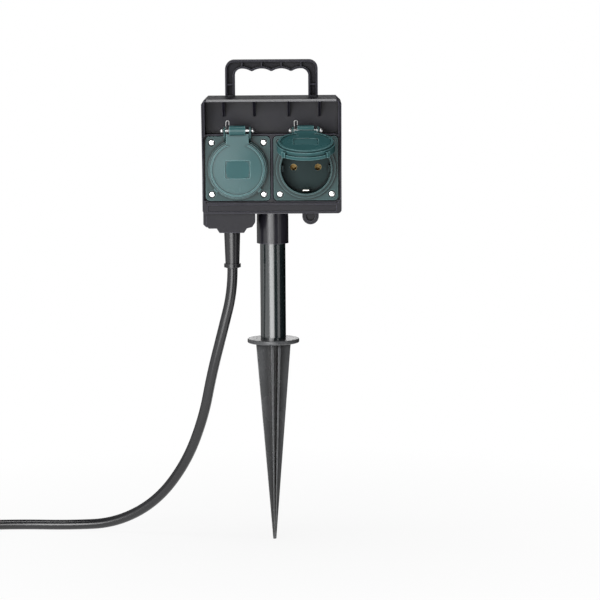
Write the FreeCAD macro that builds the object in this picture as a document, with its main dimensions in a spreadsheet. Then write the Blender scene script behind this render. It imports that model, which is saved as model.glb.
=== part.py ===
"""Garden socket spike: two splash-proof sockets with sprung lids in a housing on a ground spike.

Millimetres. The origin is the spike's tip, +Z is up and the sockets face -Y. A depth is a distance in front of the
tube's axis, so a face at depth 22 lies at Y = -22.
"""
import FreeCAD, Part
import math
import os
import Sketcher

doc = FreeCAD.newDocument("garden_socket_spike")
sheet = doc.addObject("Spreadsheet::Sheet", "Sizes")
vector = FreeCAD.Vector
turned = FreeCAD.Rotation

SIZES = {
    # housing shells, whose lower edge carries every height above and below it
    "shell_low": 261.0,
    "shell_tall": 88.8,
    "side_margin": 1.95,
    "mullion_wide": 1.3,
    "shell_wall": 2.5,
    "corner_cut": 3.7,
    "bottom_corner_radius": 3.0,
    "parting_depth": 13.0,
    "rear_reach": 27.0,
    "rear_edge_radius": 4.0,
    # front housing
    "panel_depth": 25.6,
    "seat_depth": 22.0,
    "seat_gap": 0.8,
    "seat_corner": 3.8,
    "canopy_bevel": 1.1,
    "recess_depth": 15.0,
    "recess_above_low": 61.5,
    "canopy_depth": 40.0,
    "canopy_wall": 1.7,
    "cheek_depth": 27.0,
    "cheek_slope_above_low": 35.0,
    "panel_above_low": 8.4,
    "gusset_wall": 2.0,
    "gusset_reach": 21.0,
    "gusset_drop": 12.6,
    "gusset_inner_offset": 13.3,
    "gusset_outer_offset": 36.9,
    "field_inset": 4.2,
    "field_above_low": 1.8,
    "field_tall": 4.8,
    "field_cut": 0.6,
    # socket insert
    "socket_above_low": 35.0,
    "flange_side": 49.5,
    "flange_corner": 3.0,
    "flange_wall": 3.0,
    "gasket_wall": 1.0,
    "collar_radius": 23.1,
    "collar_rise": 3.5,
    "neck_radius": 20.5,
    "neck_rise": 3.5,
    "well_radius": 19.3,
    "well_deep": 17.5,
    "well_floor_wall": 2.5,
    "barrel_radius": 21.0,
    "panel_hole_gap": 0.5,
    "contact_pitch": 19.0,
    "contact_hole_radius": 2.65,
    "guide_wide": 4.6,
    "guide_tall": 1.9,
    "screw_pitch": 40.0,
    "screw_shank_radius": 1.4,
    "screw_head_radius": 2.3,
    "screw_head_tall": 1.2,
    "screw_sink_radius": 3.0,
    "screw_sink_deep": 1.6,
    "screw_gap": 0.05,
    "screw_bite": 3.0,
    # lid and hinge
    "pin_above_socket": 29.9,
    "pin_reach": 9.8,
    "pin_radius": 1.25,
    "pin_gap": 0.08,
    "pin_ball_radius": 1.75,
    "ear_inner": 9.1,
    "ear_wall": 1.3,
    "ear_radius": 3.0,
    "ear_low": 21.0,
    "lid_radius": 22.1,
    "lid_face_radius": 20.9,
    "lid_rim_wall": 1.5,
    "lid_rim_rise": 0.7,
    "lid_skirt_gap": 0.3,
    "lid_skirt_deep": 6.2,
    "lid_step_tall": 0.8,
    "lid_plate": 1.9,
    "lid_wall_gap": 0.35,
    "lid_relief_angle": 56.0,
    "lip_radius": 23.2,
    "lip_angle": 50.0,
    "lip_deep": 2.4,
    "lip_lug_angle": 42.0,
    "lip_lug_radius": 23.9,
    "lip_lug_deep": 4.2,
    "tab_half": 6.1,
    "tab_root_half": 8.6,
    "tab_wall": 2.4,
    "tab_root_drop": 2.7,
    "knuckle_radius": 3.8,
    "label_wide": 19.0,
    "label_tall": 13.5,
    "label_cut": 0.4,
    "seal_wall": 1.6,
    "seal_width": 2.2,
    "seal_gap": 0.3,
    "right_lid_angle": 74.0,
    # lid spring
    "spring_wire": 0.6,
    "spring_pin_gap": 0.35,
    "spring_side_gap": 0.15,
    "spring_loop_above_pin": 6.3,
    "spring_loop_radius": 1.2,
    "spring_loop_drop": 2.2,
    "spring_leg_reach": 1.0,
    "spring_leg_rise": 2.6,
    "spring_leg_long": 3.4,
    "spring_leg_gap": 0.3,
    "spring_bend_radius": 0.9,
    # contacts and earth
    "carrier_radius": 20.0,
    "carrier_long": 19.0,
    "sleeve_radius": 3.2,
    "sleeve_bore_radius": 2.45,
    "sleeve_gap": 0.2,
    "terminal_wide": 6.4,
    "terminal_tall": 8.0,
    "terminal_long": 9.0,
    "strap_wall": 0.9,
    "strap_wide": 5.0,
    "strap_reach": 17.7,
    "strap_gap": 0.25,
    "clip_long": 14.5,
    "clip_bow": 2.0,
    "terminal_screw_radius": 1.25,
    "terminal_head_radius": 1.9,
    "terminal_head_tall": 1.2,
    # tube and spike
    "tube_radius": 9.95,
    "tube_wall": 1.7,
    "tube_above_low": 7.0,
    "tube_gap": 0.05,
    "sleeve_wall": 2.4,
    "sleeve_hang": 25.3,
    "sleeve_cap": 2.5,
    "disc_radius": 20.3,
    "disc_top": 160.4,
    "disc_wall": 3.2,
    "disc_edge_radius": 0.8,
    "spigot_long": 26.0,
    "wing_half": 13.7,
    "wing_wall": 2.2,
    "wing_tip_half": 1.2,
    "wing_tip_wall": 0.7,
    "rib_half": 12.3,
    "rib_wall": 1.7,
    "rib_offset": 2.75,
    "rib_tip_offset": 0.5,
    "rib_tip_wall": 0.5,
    "rib_tip_half": 0.9,
    "spike_turn": 10.0,
    # handle
    "handle_half": 35.9,
    "handle_rise": 28.7,
    "handle_corner": 6.8,
    "handle_inner_half": 28.5,
    "handle_bar_tall": 9.0,
    "handle_depth": 7.0,
    "handle_thick": 16.0,
    "handle_rim": 1.5,
    "handle_channel_deep": 4.5,
    "handle_rib": 1.0,
    "finger_pitch": 15.2,
    "finger_rise": 2.5,
    "finger_bump_radius": 2.5,
    # hanging lug
    "lug_offset": 29.7,
    "lug_drop": 3.7,
    "lug_radius": 6.4,
    "lug_recess_radius": 3.6,
    "lug_recess_deep": 3.2,
    "lug_wall": 5.0,
    "lug_depth": 10.0,
    # cable entry
    "cable_offset": 31.3,
    "cord_radius": 4.0,
    "entry_right": 13.3,
    "entry_shoulder_drop": 11.6,
    "entry_boss_drop": 15.0,
    "entry_boss_half": 9.5,
    "entry_bevel": 2.2,
    "entry_depth": 24.2,
    "entry_back": 4.0,
    "relief_radius": 6.25,
    "relief_tip_radius": 5.35,
    "relief_drop": 43.2,
    "relief_collar_radius": 6.5,
    "relief_collar_tall": 2.8,
    "relief_groove": 0.45,
    "relief_head_radius": 7.6,
    "relief_head_tall": 3.0,
    "relief_head_drop": 9.0,
    "relief_gap": 0.1,
    "cable_end_above_low": 9.0,
    "clamp_half": 11.0,
    "clamp_above_low": 3.3,
    "clamp_tall": 5.0,
    "clamp_wall": 3.0,
    "clamp_screw_half": 8.0,
    "clamp_post_radius": 2.3,
    "wire_radius": 1.1,
    "wire_gap": 0.5,
    "wire_rise": 3.1,
    "wire_inset": 1.2,
    "wire_bridge_rise": 7.0,
    # fixings
    "post_inset": 7.2,
    "post_above_low": 6.5,
    "post_below_top": 16.8,
    "post_radius": 3.3,
    "post_end_depth": 5.0,
    "tunnel_radius": 4.7,
    "tunnel_hole_radius": 1.8,
    "screw_well_deep": 18.0,
    "housing_screw_radius": 1.5,
    "housing_head_radius": 3.0,
    "housing_head_tall": 2.2,
    "tube_screw_above_sleeve": 12.3,
    "tube_screw_radius": 1.5,
    "tube_screw_head_radius": 2.8,
    "tube_screw_head_tall": 1.6,
    "seam_gasket_wall": 1.1,
    "seam_gasket_deep": 1.0,
    "seam_gasket_inset": 0.7,
    # plug
    "plug_radius": 18.5,
    "plug_face_long": 12.0,
    "plug_body_radius": 14.0,
    "plug_long": 44.0,
    "plug_neck_radius": 7.0,
    "plug_neck_tip_radius": 5.4,
    "plug_neck_long": 18.0,
    "plug_groove_wide": 5.2,
    "plug_groove_deep": 2.4,
    "plug_contact_wide": 4.0,
    "plug_contact_wall": 0.8,
    "plug_contact_long": 11.0,
    "plug_pin_radius": 2.4,
    "plug_pin_long": 19.0,
}


class Size(float):
    """A number that keeps the sheet expression it comes from, so what is worked out from it stays bound to the sheet."""

    def __new__(cls, number, text):
        size = super().__new__(cls, number)
        size.text = text
        return size

    def __add__(self, other):
        return Size(float(self) + float(other), f"({self.text} + {written(other)})")

    def __radd__(self, other):
        return Size(float(other) + float(self), f"({written(other)} + {self.text})")

    def __sub__(self, other):
        return Size(float(self) - float(other), f"({self.text} - {written(other)})")

    def __rsub__(self, other):
        return Size(float(other) - float(self), f"({written(other)} - {self.text})")

    def __mul__(self, other):
        return Size(float(self) * float(other), f"({self.text} * {written(other)})")

    def __rmul__(self, other):
        return Size(float(other) * float(self), f"({written(other)} * {self.text})")

    def __truediv__(self, other):
        return Size(float(self) / float(other), f"({self.text} / {written(other)})")

    def __neg__(self):
        return Size(-float(self), f"(-1 * {self.text})")


def root(number):
    """The square root of a size."""
    return Size(math.sqrt(float(number)), f"sqrt({written(number)})")


def written(number):
    """A size's expression, or a plain number as text."""
    return number.text if isinstance(number, Size) else repr(float(number))


class Named:
    """The sheet's cells by name."""

    def __getattr__(self, alias):
        return Size(SIZES[alias], "Sizes." + alias)


for row, (alias, number) in enumerate(SIZES.items(), 1):
    sheet.set(f"A{row}", alias.replace("_", " "))
    sheet.set(f"B{row}", str(number))
    sheet.setAlias(f"B{row}", alias)
doc.recompute()
size = Named()

FORWARD = turned(vector(1, 0, 0), 90)
SIDEWAYS = turned(vector(0, 1, 0), 90)
UPRIGHT = turned()
NODES = {}


def bind(thing, path, number):
    """Sets a property of a thing, bound to the sheet where the number comes from it."""
    if isinstance(number, Size):
        thing.setExpression(path, number.text)
    elif "." in path:
        thing.setExpression(path, repr(float(number)))
    else:
        setattr(thing, path, number)


def place(thing, x=0.0, y=0.0, z=0.0, turn=UPRIGHT):
    """Turns a thing and binds its place."""
    thing.Placement = FreeCAD.Placement(vector(float(x), float(y), float(z)), turn)
    bind(thing, "Placement.Base.x", x)
    bind(thing, "Placement.Base.y", y)
    bind(thing, "Placement.Base.z", z)
    return thing


def primitive(kind, name, x=0.0, y=0.0, z=0.0, turn=UPRIGHT, **sizes):
    """A Part primitive whose sizes and place follow the sheet."""
    solid = doc.addObject("Part::" + kind, name)
    for path, number in sizes.items():
        bind(solid, path, number)
    return place(solid, x, y, z, turn)


def box(name, left, right, back, front, low, high):
    """A box between two X values, two depths and two heights."""
    return primitive(
        "Box", name, left, -front, low, Length=right - left, Width=front - back, Height=high - low
    )


def rod(name, radius, back, front, x, z):
    """A cylinder along Y from one depth to another."""
    return primitive("Cylinder", name, x, -back, z, FORWARD, Radius=radius, Height=front - back)


def post(name, radius, low, high, x=0.0, y=0.0):
    """A cylinder that stands along Z."""
    return primitive("Cylinder", name, x, y, low, Radius=radius, Height=high - low)


def fuse(name, *solids):
    union = doc.addObject("Part::MultiFuse", name)
    union.Shapes = list(solids)
    union.Refine = True
    return union


def cut(name, base, *tools):
    difference = doc.addObject("Part::Cut", name)
    difference.Base = base
    difference.Tool = tools[0] if len(tools) == 1 else fuse(name + "_tools", *tools)
    difference.Refine = True
    return difference


def common(name, *solids):
    shared = doc.addObject("Part::MultiCommon", name)
    shared.Shapes = list(solids)
    shared.Refine = True
    return shared


def node(label, thing):
    """Names a finished sub-part."""
    thing.Label = label
    NODES[label] = thing
    return thing


# PartDesign helpers

def new_body(label):
    body = doc.addObject("PartDesign::Body", label)
    node(label, body)
    return body


def sketch(body, name, role="XZ_Plane", offset=0.0):
    """A sketch on one of the body's own origin planes, moved along the plane's normal."""
    drawing = body.newObject("Sketcher::SketchObject", f"{body.Name}_{name}")
    plane = next(f for f in body.Origin.OriginFeatures if f.Role == role)
    drawing.AttachmentSupport = [(plane, "")]
    drawing.MapMode = "FlatFace"
    bind(drawing, "AttachmentOffset.Base.z", offset)
    return drawing


def hold(drawing, geometry, point, x, y):
    """Holds a point of a sketch at x and y from its origin."""
    for kind, number in (("DistanceX", x), ("DistanceY", y)):
        index = drawing.addConstraint(Sketcher.Constraint(kind, -1, 1, geometry, point, float(number)))
        if isinstance(number, Size):
            drawing.setExpression(f"Constraints[{index}]", number.text)


def measure(drawing, kind, geometry, number):
    """Gives a sketch's circle or arc its bound radius."""
    index = drawing.addConstraint(Sketcher.Constraint(kind, geometry, float(number)))
    if isinstance(number, Size):
        drawing.setExpression(f"Constraints[{index}]", number.text)


def polygon(drawing, *points):
    """A closed outline of straight lines, each corner held at its place."""
    count = len(points)
    corners = [vector(float(x), float(y), 0) for x, y in points]
    first = drawing.GeometryCount
    for i in range(count):
        drawing.addGeometry(Part.LineSegment(corners[i], corners[(i + 1) % count]))
    for i in range(count):
        after = first + (i + 1) % count
        drawing.addConstraint(Sketcher.Constraint("Coincident", first + i, 2, after, 1))
    for i, (x, y) in enumerate(points):
        hold(drawing, first + i, 1, x, y)


def rectangle(drawing, left, right, low, high):
    polygon(drawing, (left, low), (right, low), (right, high), (left, high))


def circle(drawing, radius, x=0.0, y=0.0):
    index = drawing.addGeometry(Part.Circle(vector(float(x), float(y), 0), vector(0, 0, 1), float(radius)))
    hold(drawing, index, 3, x, y)
    measure(drawing, "Radius", index, radius)


def outline(drawing, start, *steps):
    """A closed outline of lines to (x, y) and of arcs to (x, y, by_x, by_y, radius) that pass by a point."""
    pieces = []
    here = start
    closed = steps[-1][:2] == start
    for step in steps + (() if closed else (start,)):
        begin, end = (vector(float(p[0]), float(p[1]), 0) for p in (here, step))
        if len(step) == 2:
            index = drawing.addGeometry(Part.LineSegment(begin, end))
        else:
            by = vector(float(step[2]), float(step[3]), 0)
            index = drawing.addGeometry(Part.Arc(begin, by, end))
            measure(drawing, "Radius", index, step[4])
        first = 1 if drawing.getPoint(index, 1).isEqual(begin, 0.0001) else 2
        pieces.append((index, first, 3 - first))
        here = step
    for (index, _, last), (after, first, _) in zip(pieces, pieces[1:] + pieces[:1]):
        drawing.addConstraint(Sketcher.Constraint("Coincident", index, last, after, first))
    for (index, first, _), point in zip(pieces, (start,) + steps):
        hold(drawing, index, first, point[0], point[1])


def bend(x, y, radius, from_x, from_y, to_x, to_y):
    """The outline step that rounds the corner at x and y, with the ways into it and out of it."""
    reach = radius * (1 - math.sqrt(0.5))
    return (
        x + to_x * radius,
        y + to_y * radius,
        x + (to_x - from_x) * reach,
        y + (to_y - from_y) * reach,
        radius,
    )


def corner(x, y, radius, from_x, from_y, to_x, to_y):
    """A line up to a rounded corner and the arc round it."""
    start = (x - from_x * radius, y - from_y * radius)
    return start, bend(x, y, radius, from_x, from_y, to_x, to_y)


def rounded(drawing, left, right, low, high, radius):
    """A rectangle with round corners."""
    outline(
        drawing,
        (left + radius, low),
        *corner(right, low, radius, 1, 0, 0, 1),
        *corner(right, high, radius, 0, 1, -1, 0),
        *corner(left, high, radius, -1, 0, 0, -1),
        *corner(left, low, radius, 0, -1, 1, 0),
    )


def feature(body, kind, drawing, length, reverse=False, both_ways=False):
    """A pad along the sketch's normal or a pocket against it, which becomes the body's tip."""
    made = body.newObject("PartDesign::" + kind, f"{drawing.Name}_{kind.lower()}")
    made.Profile = drawing
    bind(made, "Length", length)
    made.Reversed = reverse
    if both_ways:
        made.SideType = "Symmetric"
    drawing.Visibility = False
    body.Tip = made
    return made


def pad(body, drawing, length, **options):
    return feature(body, "Pad", drawing, length, **options)


def pocket(body, drawing, length, **options):
    return feature(body, "Pocket", drawing, length, **options)


def edges_along(thing, axis, *corners):
    """The names of the edges along an axis that pass through any of the given corners of the plane across it."""
    doc.recompute()
    across = [i for i in range(3) if i != axis]
    names = []
    for index, edge in enumerate(thing.Shape.Edges, 1):
        ends = [v.Point for v in edge.Vertexes]
        if len(ends) != 2 or any(abs(ends[0][i] - ends[1][i]) > 0.01 for i in across):
            continue
        for corner in corners:
            if all(abs(ends[0][i] - float(c)) < 0.05 for i, c in zip(across, corner)):
                names.append(f"Edge{index}")
                break
    return names


def round_edges(body, base, names, radius, kind="Fillet"):
    """Rounds or bevels named edges of a feature."""
    made = body.newObject("PartDesign::" + kind, f"{base.Name}_{kind.lower()}")
    made.Base = (base, names)
    bind(made, "Radius" if kind == "Fillet" else "Size", radius)
    body.Tip = made
    return made


# Places that several pieces share

SIDES = {"left": -1, "right": 1}
shell_top = size.shell_low + size.shell_tall
flange_half = size.flange_side / 2
seat_half = flange_half + size.seat_gap
socket_offset = seat_half + size.mullion_wide / 2
shell_half = socket_offset + seat_half + size.side_margin
shell_inner = shell_half - size.shell_wall
flange_back = size.seat_depth + size.gasket_wall
flange_front = flange_back + size.flange_wall
collar_front = flange_front + size.collar_rise
neck_front = collar_front + size.neck_rise
well_floor = neck_front - size.well_deep
barrel_back = well_floor - size.well_floor_wall
screw_half = size.screw_pitch / 2
contact_half = size.contact_pitch / 2
socket_height = size.shell_low + size.socket_above_low
pin_height = socket_height + size.pin_above_socket
pin_depth = flange_front + size.pin_reach
canopy_low = shell_top - size.canopy_wall
recess_low = size.shell_low + size.recess_above_low
sleeve_low = size.shell_low - size.sleeve_hang
tube_top = size.shell_low + size.tube_above_low
tube_screw_height = sleeve_low + size.tube_screw_above_sleeve
entry_shoulder = size.shell_low - size.entry_shoulder_drop
entry_boss_low = size.shell_low - size.entry_boss_drop
relief_low = size.shell_low - size.relief_drop
relief_head_low = size.shell_low - size.relief_head_drop
cable_end = size.shell_low + size.cable_end_above_low
clamp_low = size.shell_low + size.clamp_above_low
cable_x = -size.cable_offset
cable_y = -size.parting_depth
sleeve_outer = size.tube_radius + size.tube_gap + size.sleeve_wall
clear = 1.0


def socket_x(side):
    return socket_offset * SIDES[side]


def shell_outline(drawing, low):
    """The outline that the shells share above a height, with its top corners cut off."""
    half, top, bevel = shell_half, shell_top, size.corner_cut
    polygon(
        drawing,
        (-half, low),
        (half, low),
        (half, top - bevel),
        (half - bevel, top),
        (bevel - half, top),
        (-half, top - bevel),
    )


def entry_outline(drawing, left, top):
    """The cable entry's outline: level shoulders and a boss that stands lower under the cable."""
    boss_left, boss_right = cable_x - size.entry_boss_half, cable_x + size.entry_boss_half
    shoulder, boss, bevel = entry_shoulder, entry_boss_low, size.entry_bevel
    polygon(
        drawing,
        (-left, top),
        (-left, shoulder + bevel),
        (bevel - left, shoulder),
        (boss_left - bevel, shoulder),
        (boss_left, boss),
        (boss_right, boss),
        (boss_right + bevel, shoulder),
        (-size.entry_right - bevel, shoulder + bevel / 2),
        (-size.entry_right, shoulder + bevel * 2),
        (-size.entry_right, top),
    )


def housing_posts():
    """The four places of the housing screws."""
    across = shell_half - size.post_inset
    low, high = size.shell_low + size.post_above_low, shell_top - size.post_below_top
    return [(x * across, z) for z in (low, high) for x in (-1, 1)]


def cable_bore(body, name):
    """Cuts the way of the cable and its bend protection, which both shells share half and half."""
    steps = (
        ("neck", size.relief_radius + size.relief_gap, entry_boss_low - clear, relief_head_low),
        ("head", size.relief_head_radius + size.relief_gap, relief_head_low, relief_head_top),
        ("cable", size.cord_radius + size.relief_gap, relief_head_top, size.shell_low + size.shell_wall + clear),
    )
    for part, radius, low, high in steps:
        drawing = sketch(body, f"{name}_{part}", "XY_Plane", low)
        circle(drawing, radius, cable_x, cable_y)
        pocket(body, drawing, high - low, reverse=True)


def cheek_slope(body):
    """Cuts the cheeks' front edge, upright beside the sockets and sloping out to the canopy."""
    low = size.shell_low
    slope = sketch(body, "cheek_slope", "YZ_Plane")
    polygon(
        slope,
        (-size.cheek_depth, low - clear),
        (-size.cheek_depth, low + size.cheek_slope_above_low),
        (-size.canopy_depth, canopy_low),
        (-size.canopy_depth - clear, canopy_low),
        (-size.canopy_depth - clear, low - clear),
    )
    pocket(body, slope, shell_half * 2 + clear, both_ways=True)


def screw_posts(body, spots, reach):
    """Posts that take the housing screws from behind, up to a depth in front."""
    posts = sketch(body, "posts", offset=size.post_end_depth)
    for x, z in spots:
        circle(posts, size.post_radius, x, z)
    pad(body, posts, reach - size.post_end_depth)
    pilots = sketch(body, "pilots", offset=size.post_end_depth)
    for x, z in spots:
        circle(pilots, size.housing_screw_radius + size.screw_gap, x, z)
    pocket(body, pilots, size.recess_depth - clear - size.post_end_depth, reverse=True)


def gasket_groove(body):
    groove = sketch(body, "gasket_groove", offset=size.parting_depth)
    seam_ring(groove, 0.0)
    pocket(body, groove, size.seam_gasket_deep, reverse=True)


def rain_hood():
    """The hood over the lids, which stands on the front housing: back wall, cheeks, canopy and four gussets."""
    body = new_body("rain_hood")
    face = sketch(body, "outline", offset=size.parting_depth)
    shell_outline(face, recess_low)
    block = pad(body, face, size.canopy_depth - size.parting_depth)
    doc.recompute()
    rim = [
        f"Edge{i}"
        for i, edge in enumerate(block.Shape.Edges, 1)
        if all(
            abs(v.Point.y + size.canopy_depth) < 0.01 and v.Point.z > shell_top - size.corner_cut - 0.01
            for v in edge.Vertexes
        )
    ]
    round_edges(body, block, rim, size.canopy_bevel, "Chamfer")

    opening = sketch(body, "opening", offset=size.canopy_depth)
    rectangle(opening, -shell_inner, shell_inner, recess_low - clear, canopy_low)
    pocket(body, opening, size.canopy_depth - size.recess_depth)
    cheek_slope(body)

    inner, outer = size.gusset_inner_offset, size.gusset_outer_offset
    for index, x in enumerate((-outer, -inner, inner, outer), 1):
        gusset = sketch(body, f"gusset_{index}", "YZ_Plane", x - size.gusset_wall / 2)
        polygon(
            gusset,
            (-size.recess_depth + clear, canopy_low + clear),
            (-size.recess_depth + clear, canopy_low - size.gusset_drop),
            (-size.recess_depth, canopy_low - size.gusset_drop),
            (-size.recess_depth - size.gusset_reach, canopy_low),
            (-size.recess_depth - size.gusset_reach, canopy_low + clear),
        )
        pad(body, gusset, size.gusset_wall)
    screw_posts(body, housing_posts()[2:], size.recess_depth - clear)
    gasket_groove(body)


def front_housing():
    """The cover below the hood: panel, cheeks, bottom band and the front of the cable entry."""
    body = new_body("front_housing")
    half, low, wall = shell_half, size.shell_low, size.shell_wall
    face = sketch(body, "outline", offset=size.parting_depth)
    rectangle(face, -half, half, low, recess_low)
    block = pad(body, face, size.canopy_depth - size.parting_depth)
    bottom = edges_along(block, 1, (-half, low), (half, low))
    round_edges(body, block, bottom, size.bottom_corner_radius)

    opening = sketch(body, "opening", offset=size.canopy_depth)
    rectangle(opening, -shell_inner, shell_inner, low + size.panel_above_low, recess_low + clear)
    pocket(body, opening, size.canopy_depth - size.panel_depth)
    cheek_slope(body)

    entry = sketch(body, "entry", offset=size.parting_depth)
    entry_outline(entry, shell_inner, low + wall)
    pad(body, entry, size.entry_depth - size.parting_depth)

    hollow = sketch(body, "hollow", offset=size.parting_depth)
    rectangle(hollow, -shell_inner, shell_inner, low + wall, recess_low - wall)
    pocket(body, hollow, size.seat_depth - wall - size.parting_depth, reverse=True)

    for side in SIDES:
        seat = sketch(body, f"{side}_seat", offset=size.panel_depth)
        x, z = socket_x(side), socket_height
        rounded(seat, x - seat_half, x + seat_half, z - seat_half, z + seat_half, size.seat_corner)
        pocket(body, seat, size.panel_depth - size.seat_depth)

    holes = sketch(body, "socket_holes", offset=size.seat_depth)
    for side in SIDES:
        circle(holes, size.barrel_radius + size.panel_hole_gap, socket_x(side), socket_height)
        for x, z in flange_screws(side):
            circle(holes, size.screw_shank_radius + size.screw_gap, x, z)
    pocket(body, holes, wall + clear)

    field = sketch(body, "field", offset=size.cheek_depth)
    across, base = shell_half - size.field_inset, low + size.field_above_low
    rectangle(field, -across, across, base, base + size.field_tall)
    pocket(body, field, size.field_cut)

    screw_posts(body, housing_posts()[:2], size.seat_depth - clear)

    saddle = sketch(body, "cable_saddle", offset=saddle_depth)
    rectangle(
        saddle,
        cable_x - size.clamp_screw_half,
        cable_x + size.clamp_screw_half,
        clamp_low,
        clamp_low + size.clamp_tall,
    )
    pad(body, saddle, size.seat_depth - wall + clear - saddle_depth)
    clamp_posts = sketch(body, "clamp_posts", offset=clamp_front)
    for x, z in clamp_screws():
        circle(clamp_posts, size.clamp_post_radius, x, z)
    pad(body, clamp_posts, size.seat_depth - wall + clear - clamp_front)
    clamp_pilots = sketch(body, "clamp_pilots", offset=clamp_front)
    for x, z in clamp_screws():
        circle(clamp_pilots, size.terminal_screw_radius + size.screw_gap, x, z)
    pocket(body, clamp_pilots, size.seat_depth - wall - clamp_front, reverse=True)
    cable_bore(body, "bore")
    gasket_groove(body)


def seam_ring(drawing, gap):
    """The seam gasket's ring along the middle of the shells' wall."""
    outer = shell_half - size.seam_gasket_inset - gap
    inner = outer - size.seam_gasket_wall + 2 * gap
    low = size.shell_low + size.seam_gasket_inset + gap
    top = shell_top - size.seam_gasket_inset - gap
    wall, bevel = size.seam_gasket_wall - 2 * gap, size.corner_cut
    for half, base, peak in ((outer, low, top), (inner, low + wall, top - wall)):
        polygon(
            drawing,
            (-half, base),
            (half, base),
            (half, peak - bevel),
            (half - bevel, peak),
            (bevel - half, peak),
            (-half, peak - bevel),
        )


def housing_gasket():
    body = new_body("housing_gasket")
    ring = sketch(body, "ring", offset=size.parting_depth)
    seam_ring(ring, 0.05)
    pad(body, ring, size.seam_gasket_deep)
    gap = sketch(body, "cable_gap", offset=size.parting_depth + size.seam_gasket_deep)
    reach = size.cord_radius + clear
    rectangle(gap, cable_x - reach, cable_x + reach, size.shell_low, size.shell_low + size.shell_wall)
    pocket(body, gap, size.seam_gasket_deep)


def rear_housing():
    """The tub behind the seam, with the handle, the tube's sleeve, the hanging lug and the rear of the cable entry."""
    body = new_body("rear_housing")
    half, low, top, wall = shell_half, size.shell_low, shell_top, size.shell_wall
    face = sketch(body, "outline", offset=-size.rear_reach)
    shell_outline(face, size.shell_low)
    block = pad(body, face, size.parting_depth + size.rear_reach)
    bottom = edges_along(block, 1, (-half, low), (half, low))
    rounding = round_edges(body, block, bottom, size.bottom_corner_radius)
    doc.recompute()
    back = [
        f"Edge{i}"
        for i, edge in enumerate(rounding.Shape.Edges, 1)
        if all(abs(v.Point.y - float(size.rear_reach)) < 0.01 for v in edge.Vertexes)
    ]
    round_edges(body, rounding, back, size.rear_edge_radius)

    hollow = sketch(body, "hollow", offset=size.parting_depth)
    rectangle(hollow, -shell_inner, shell_inner, low + wall, top - wall)
    pocket(body, hollow, size.parting_depth + size.rear_reach - wall)

    entry = sketch(body, "entry", offset=size.entry_back)
    entry_outline(entry, half, low + wall)
    pad(body, entry, size.parting_depth - size.entry_back)
    cable_bore(body, "bore")

    sleeve = sketch(body, "sleeve", "XY_Plane", sleeve_low)
    circle(sleeve, sleeve_outer)
    pad(body, sleeve, tube_top + size.sleeve_cap - sleeve_low)
    bore = sketch(body, "tube_bore", "XY_Plane", sleeve_low)
    circle(bore, size.tube_radius + size.tube_gap)
    pocket(body, bore, tube_top - sleeve_low, reverse=True)
    tube_screw = sketch(body, "tube_screw_hole", offset=-sleeve_outer - clear)
    circle(tube_screw, size.tube_screw_radius + size.screw_gap, 0.0, tube_screw_height)
    pocket(body, tube_screw, sleeve_outer, reverse=True)

    tunnels = sketch(body, "screw_tunnels", offset=-size.rear_reach + wall - clear)
    for x, z in housing_posts():
        circle(tunnels, size.tunnel_radius, x, z)
    pad(body, tunnels, size.rear_reach - wall + clear + size.post_end_depth)
    ways = sketch(body, "screw_ways", offset=-size.rear_reach)
    for x, z in housing_posts():
        circle(ways, size.tunnel_hole_radius, x, z)
    pocket(body, ways, size.rear_reach + size.post_end_depth, reverse=True)
    wells = sketch(body, "screw_wells", offset=-size.rear_reach)
    for x, z in housing_posts():
        circle(wells, size.housing_head_radius + size.relief_gap, x, z)
    pocket(body, wells, size.screw_well_deep, reverse=True)

    lug = sketch(body, "lug", offset=size.lug_depth - size.lug_wall)
    left, right = size.lug_offset - size.lug_radius, size.lug_offset + size.lug_radius
    middle = low - size.lug_drop
    lug_low = middle - size.lug_radius
    outline(
        lug,
        (left, low + clear),
        *corner(left, lug_low, size.lug_radius, 0, -1, 1, 0),
        bend(right, lug_low, size.lug_radius, 1, 0, 0, 1),
        (right, low + clear),
    )
    pad(body, lug, size.lug_wall)
    eye = sketch(body, "lug_recess", offset=size.lug_depth)
    circle(eye, size.lug_recess_radius, size.lug_offset, middle)
    pocket(body, eye, size.lug_recess_deep)
    handle(body)


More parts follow.
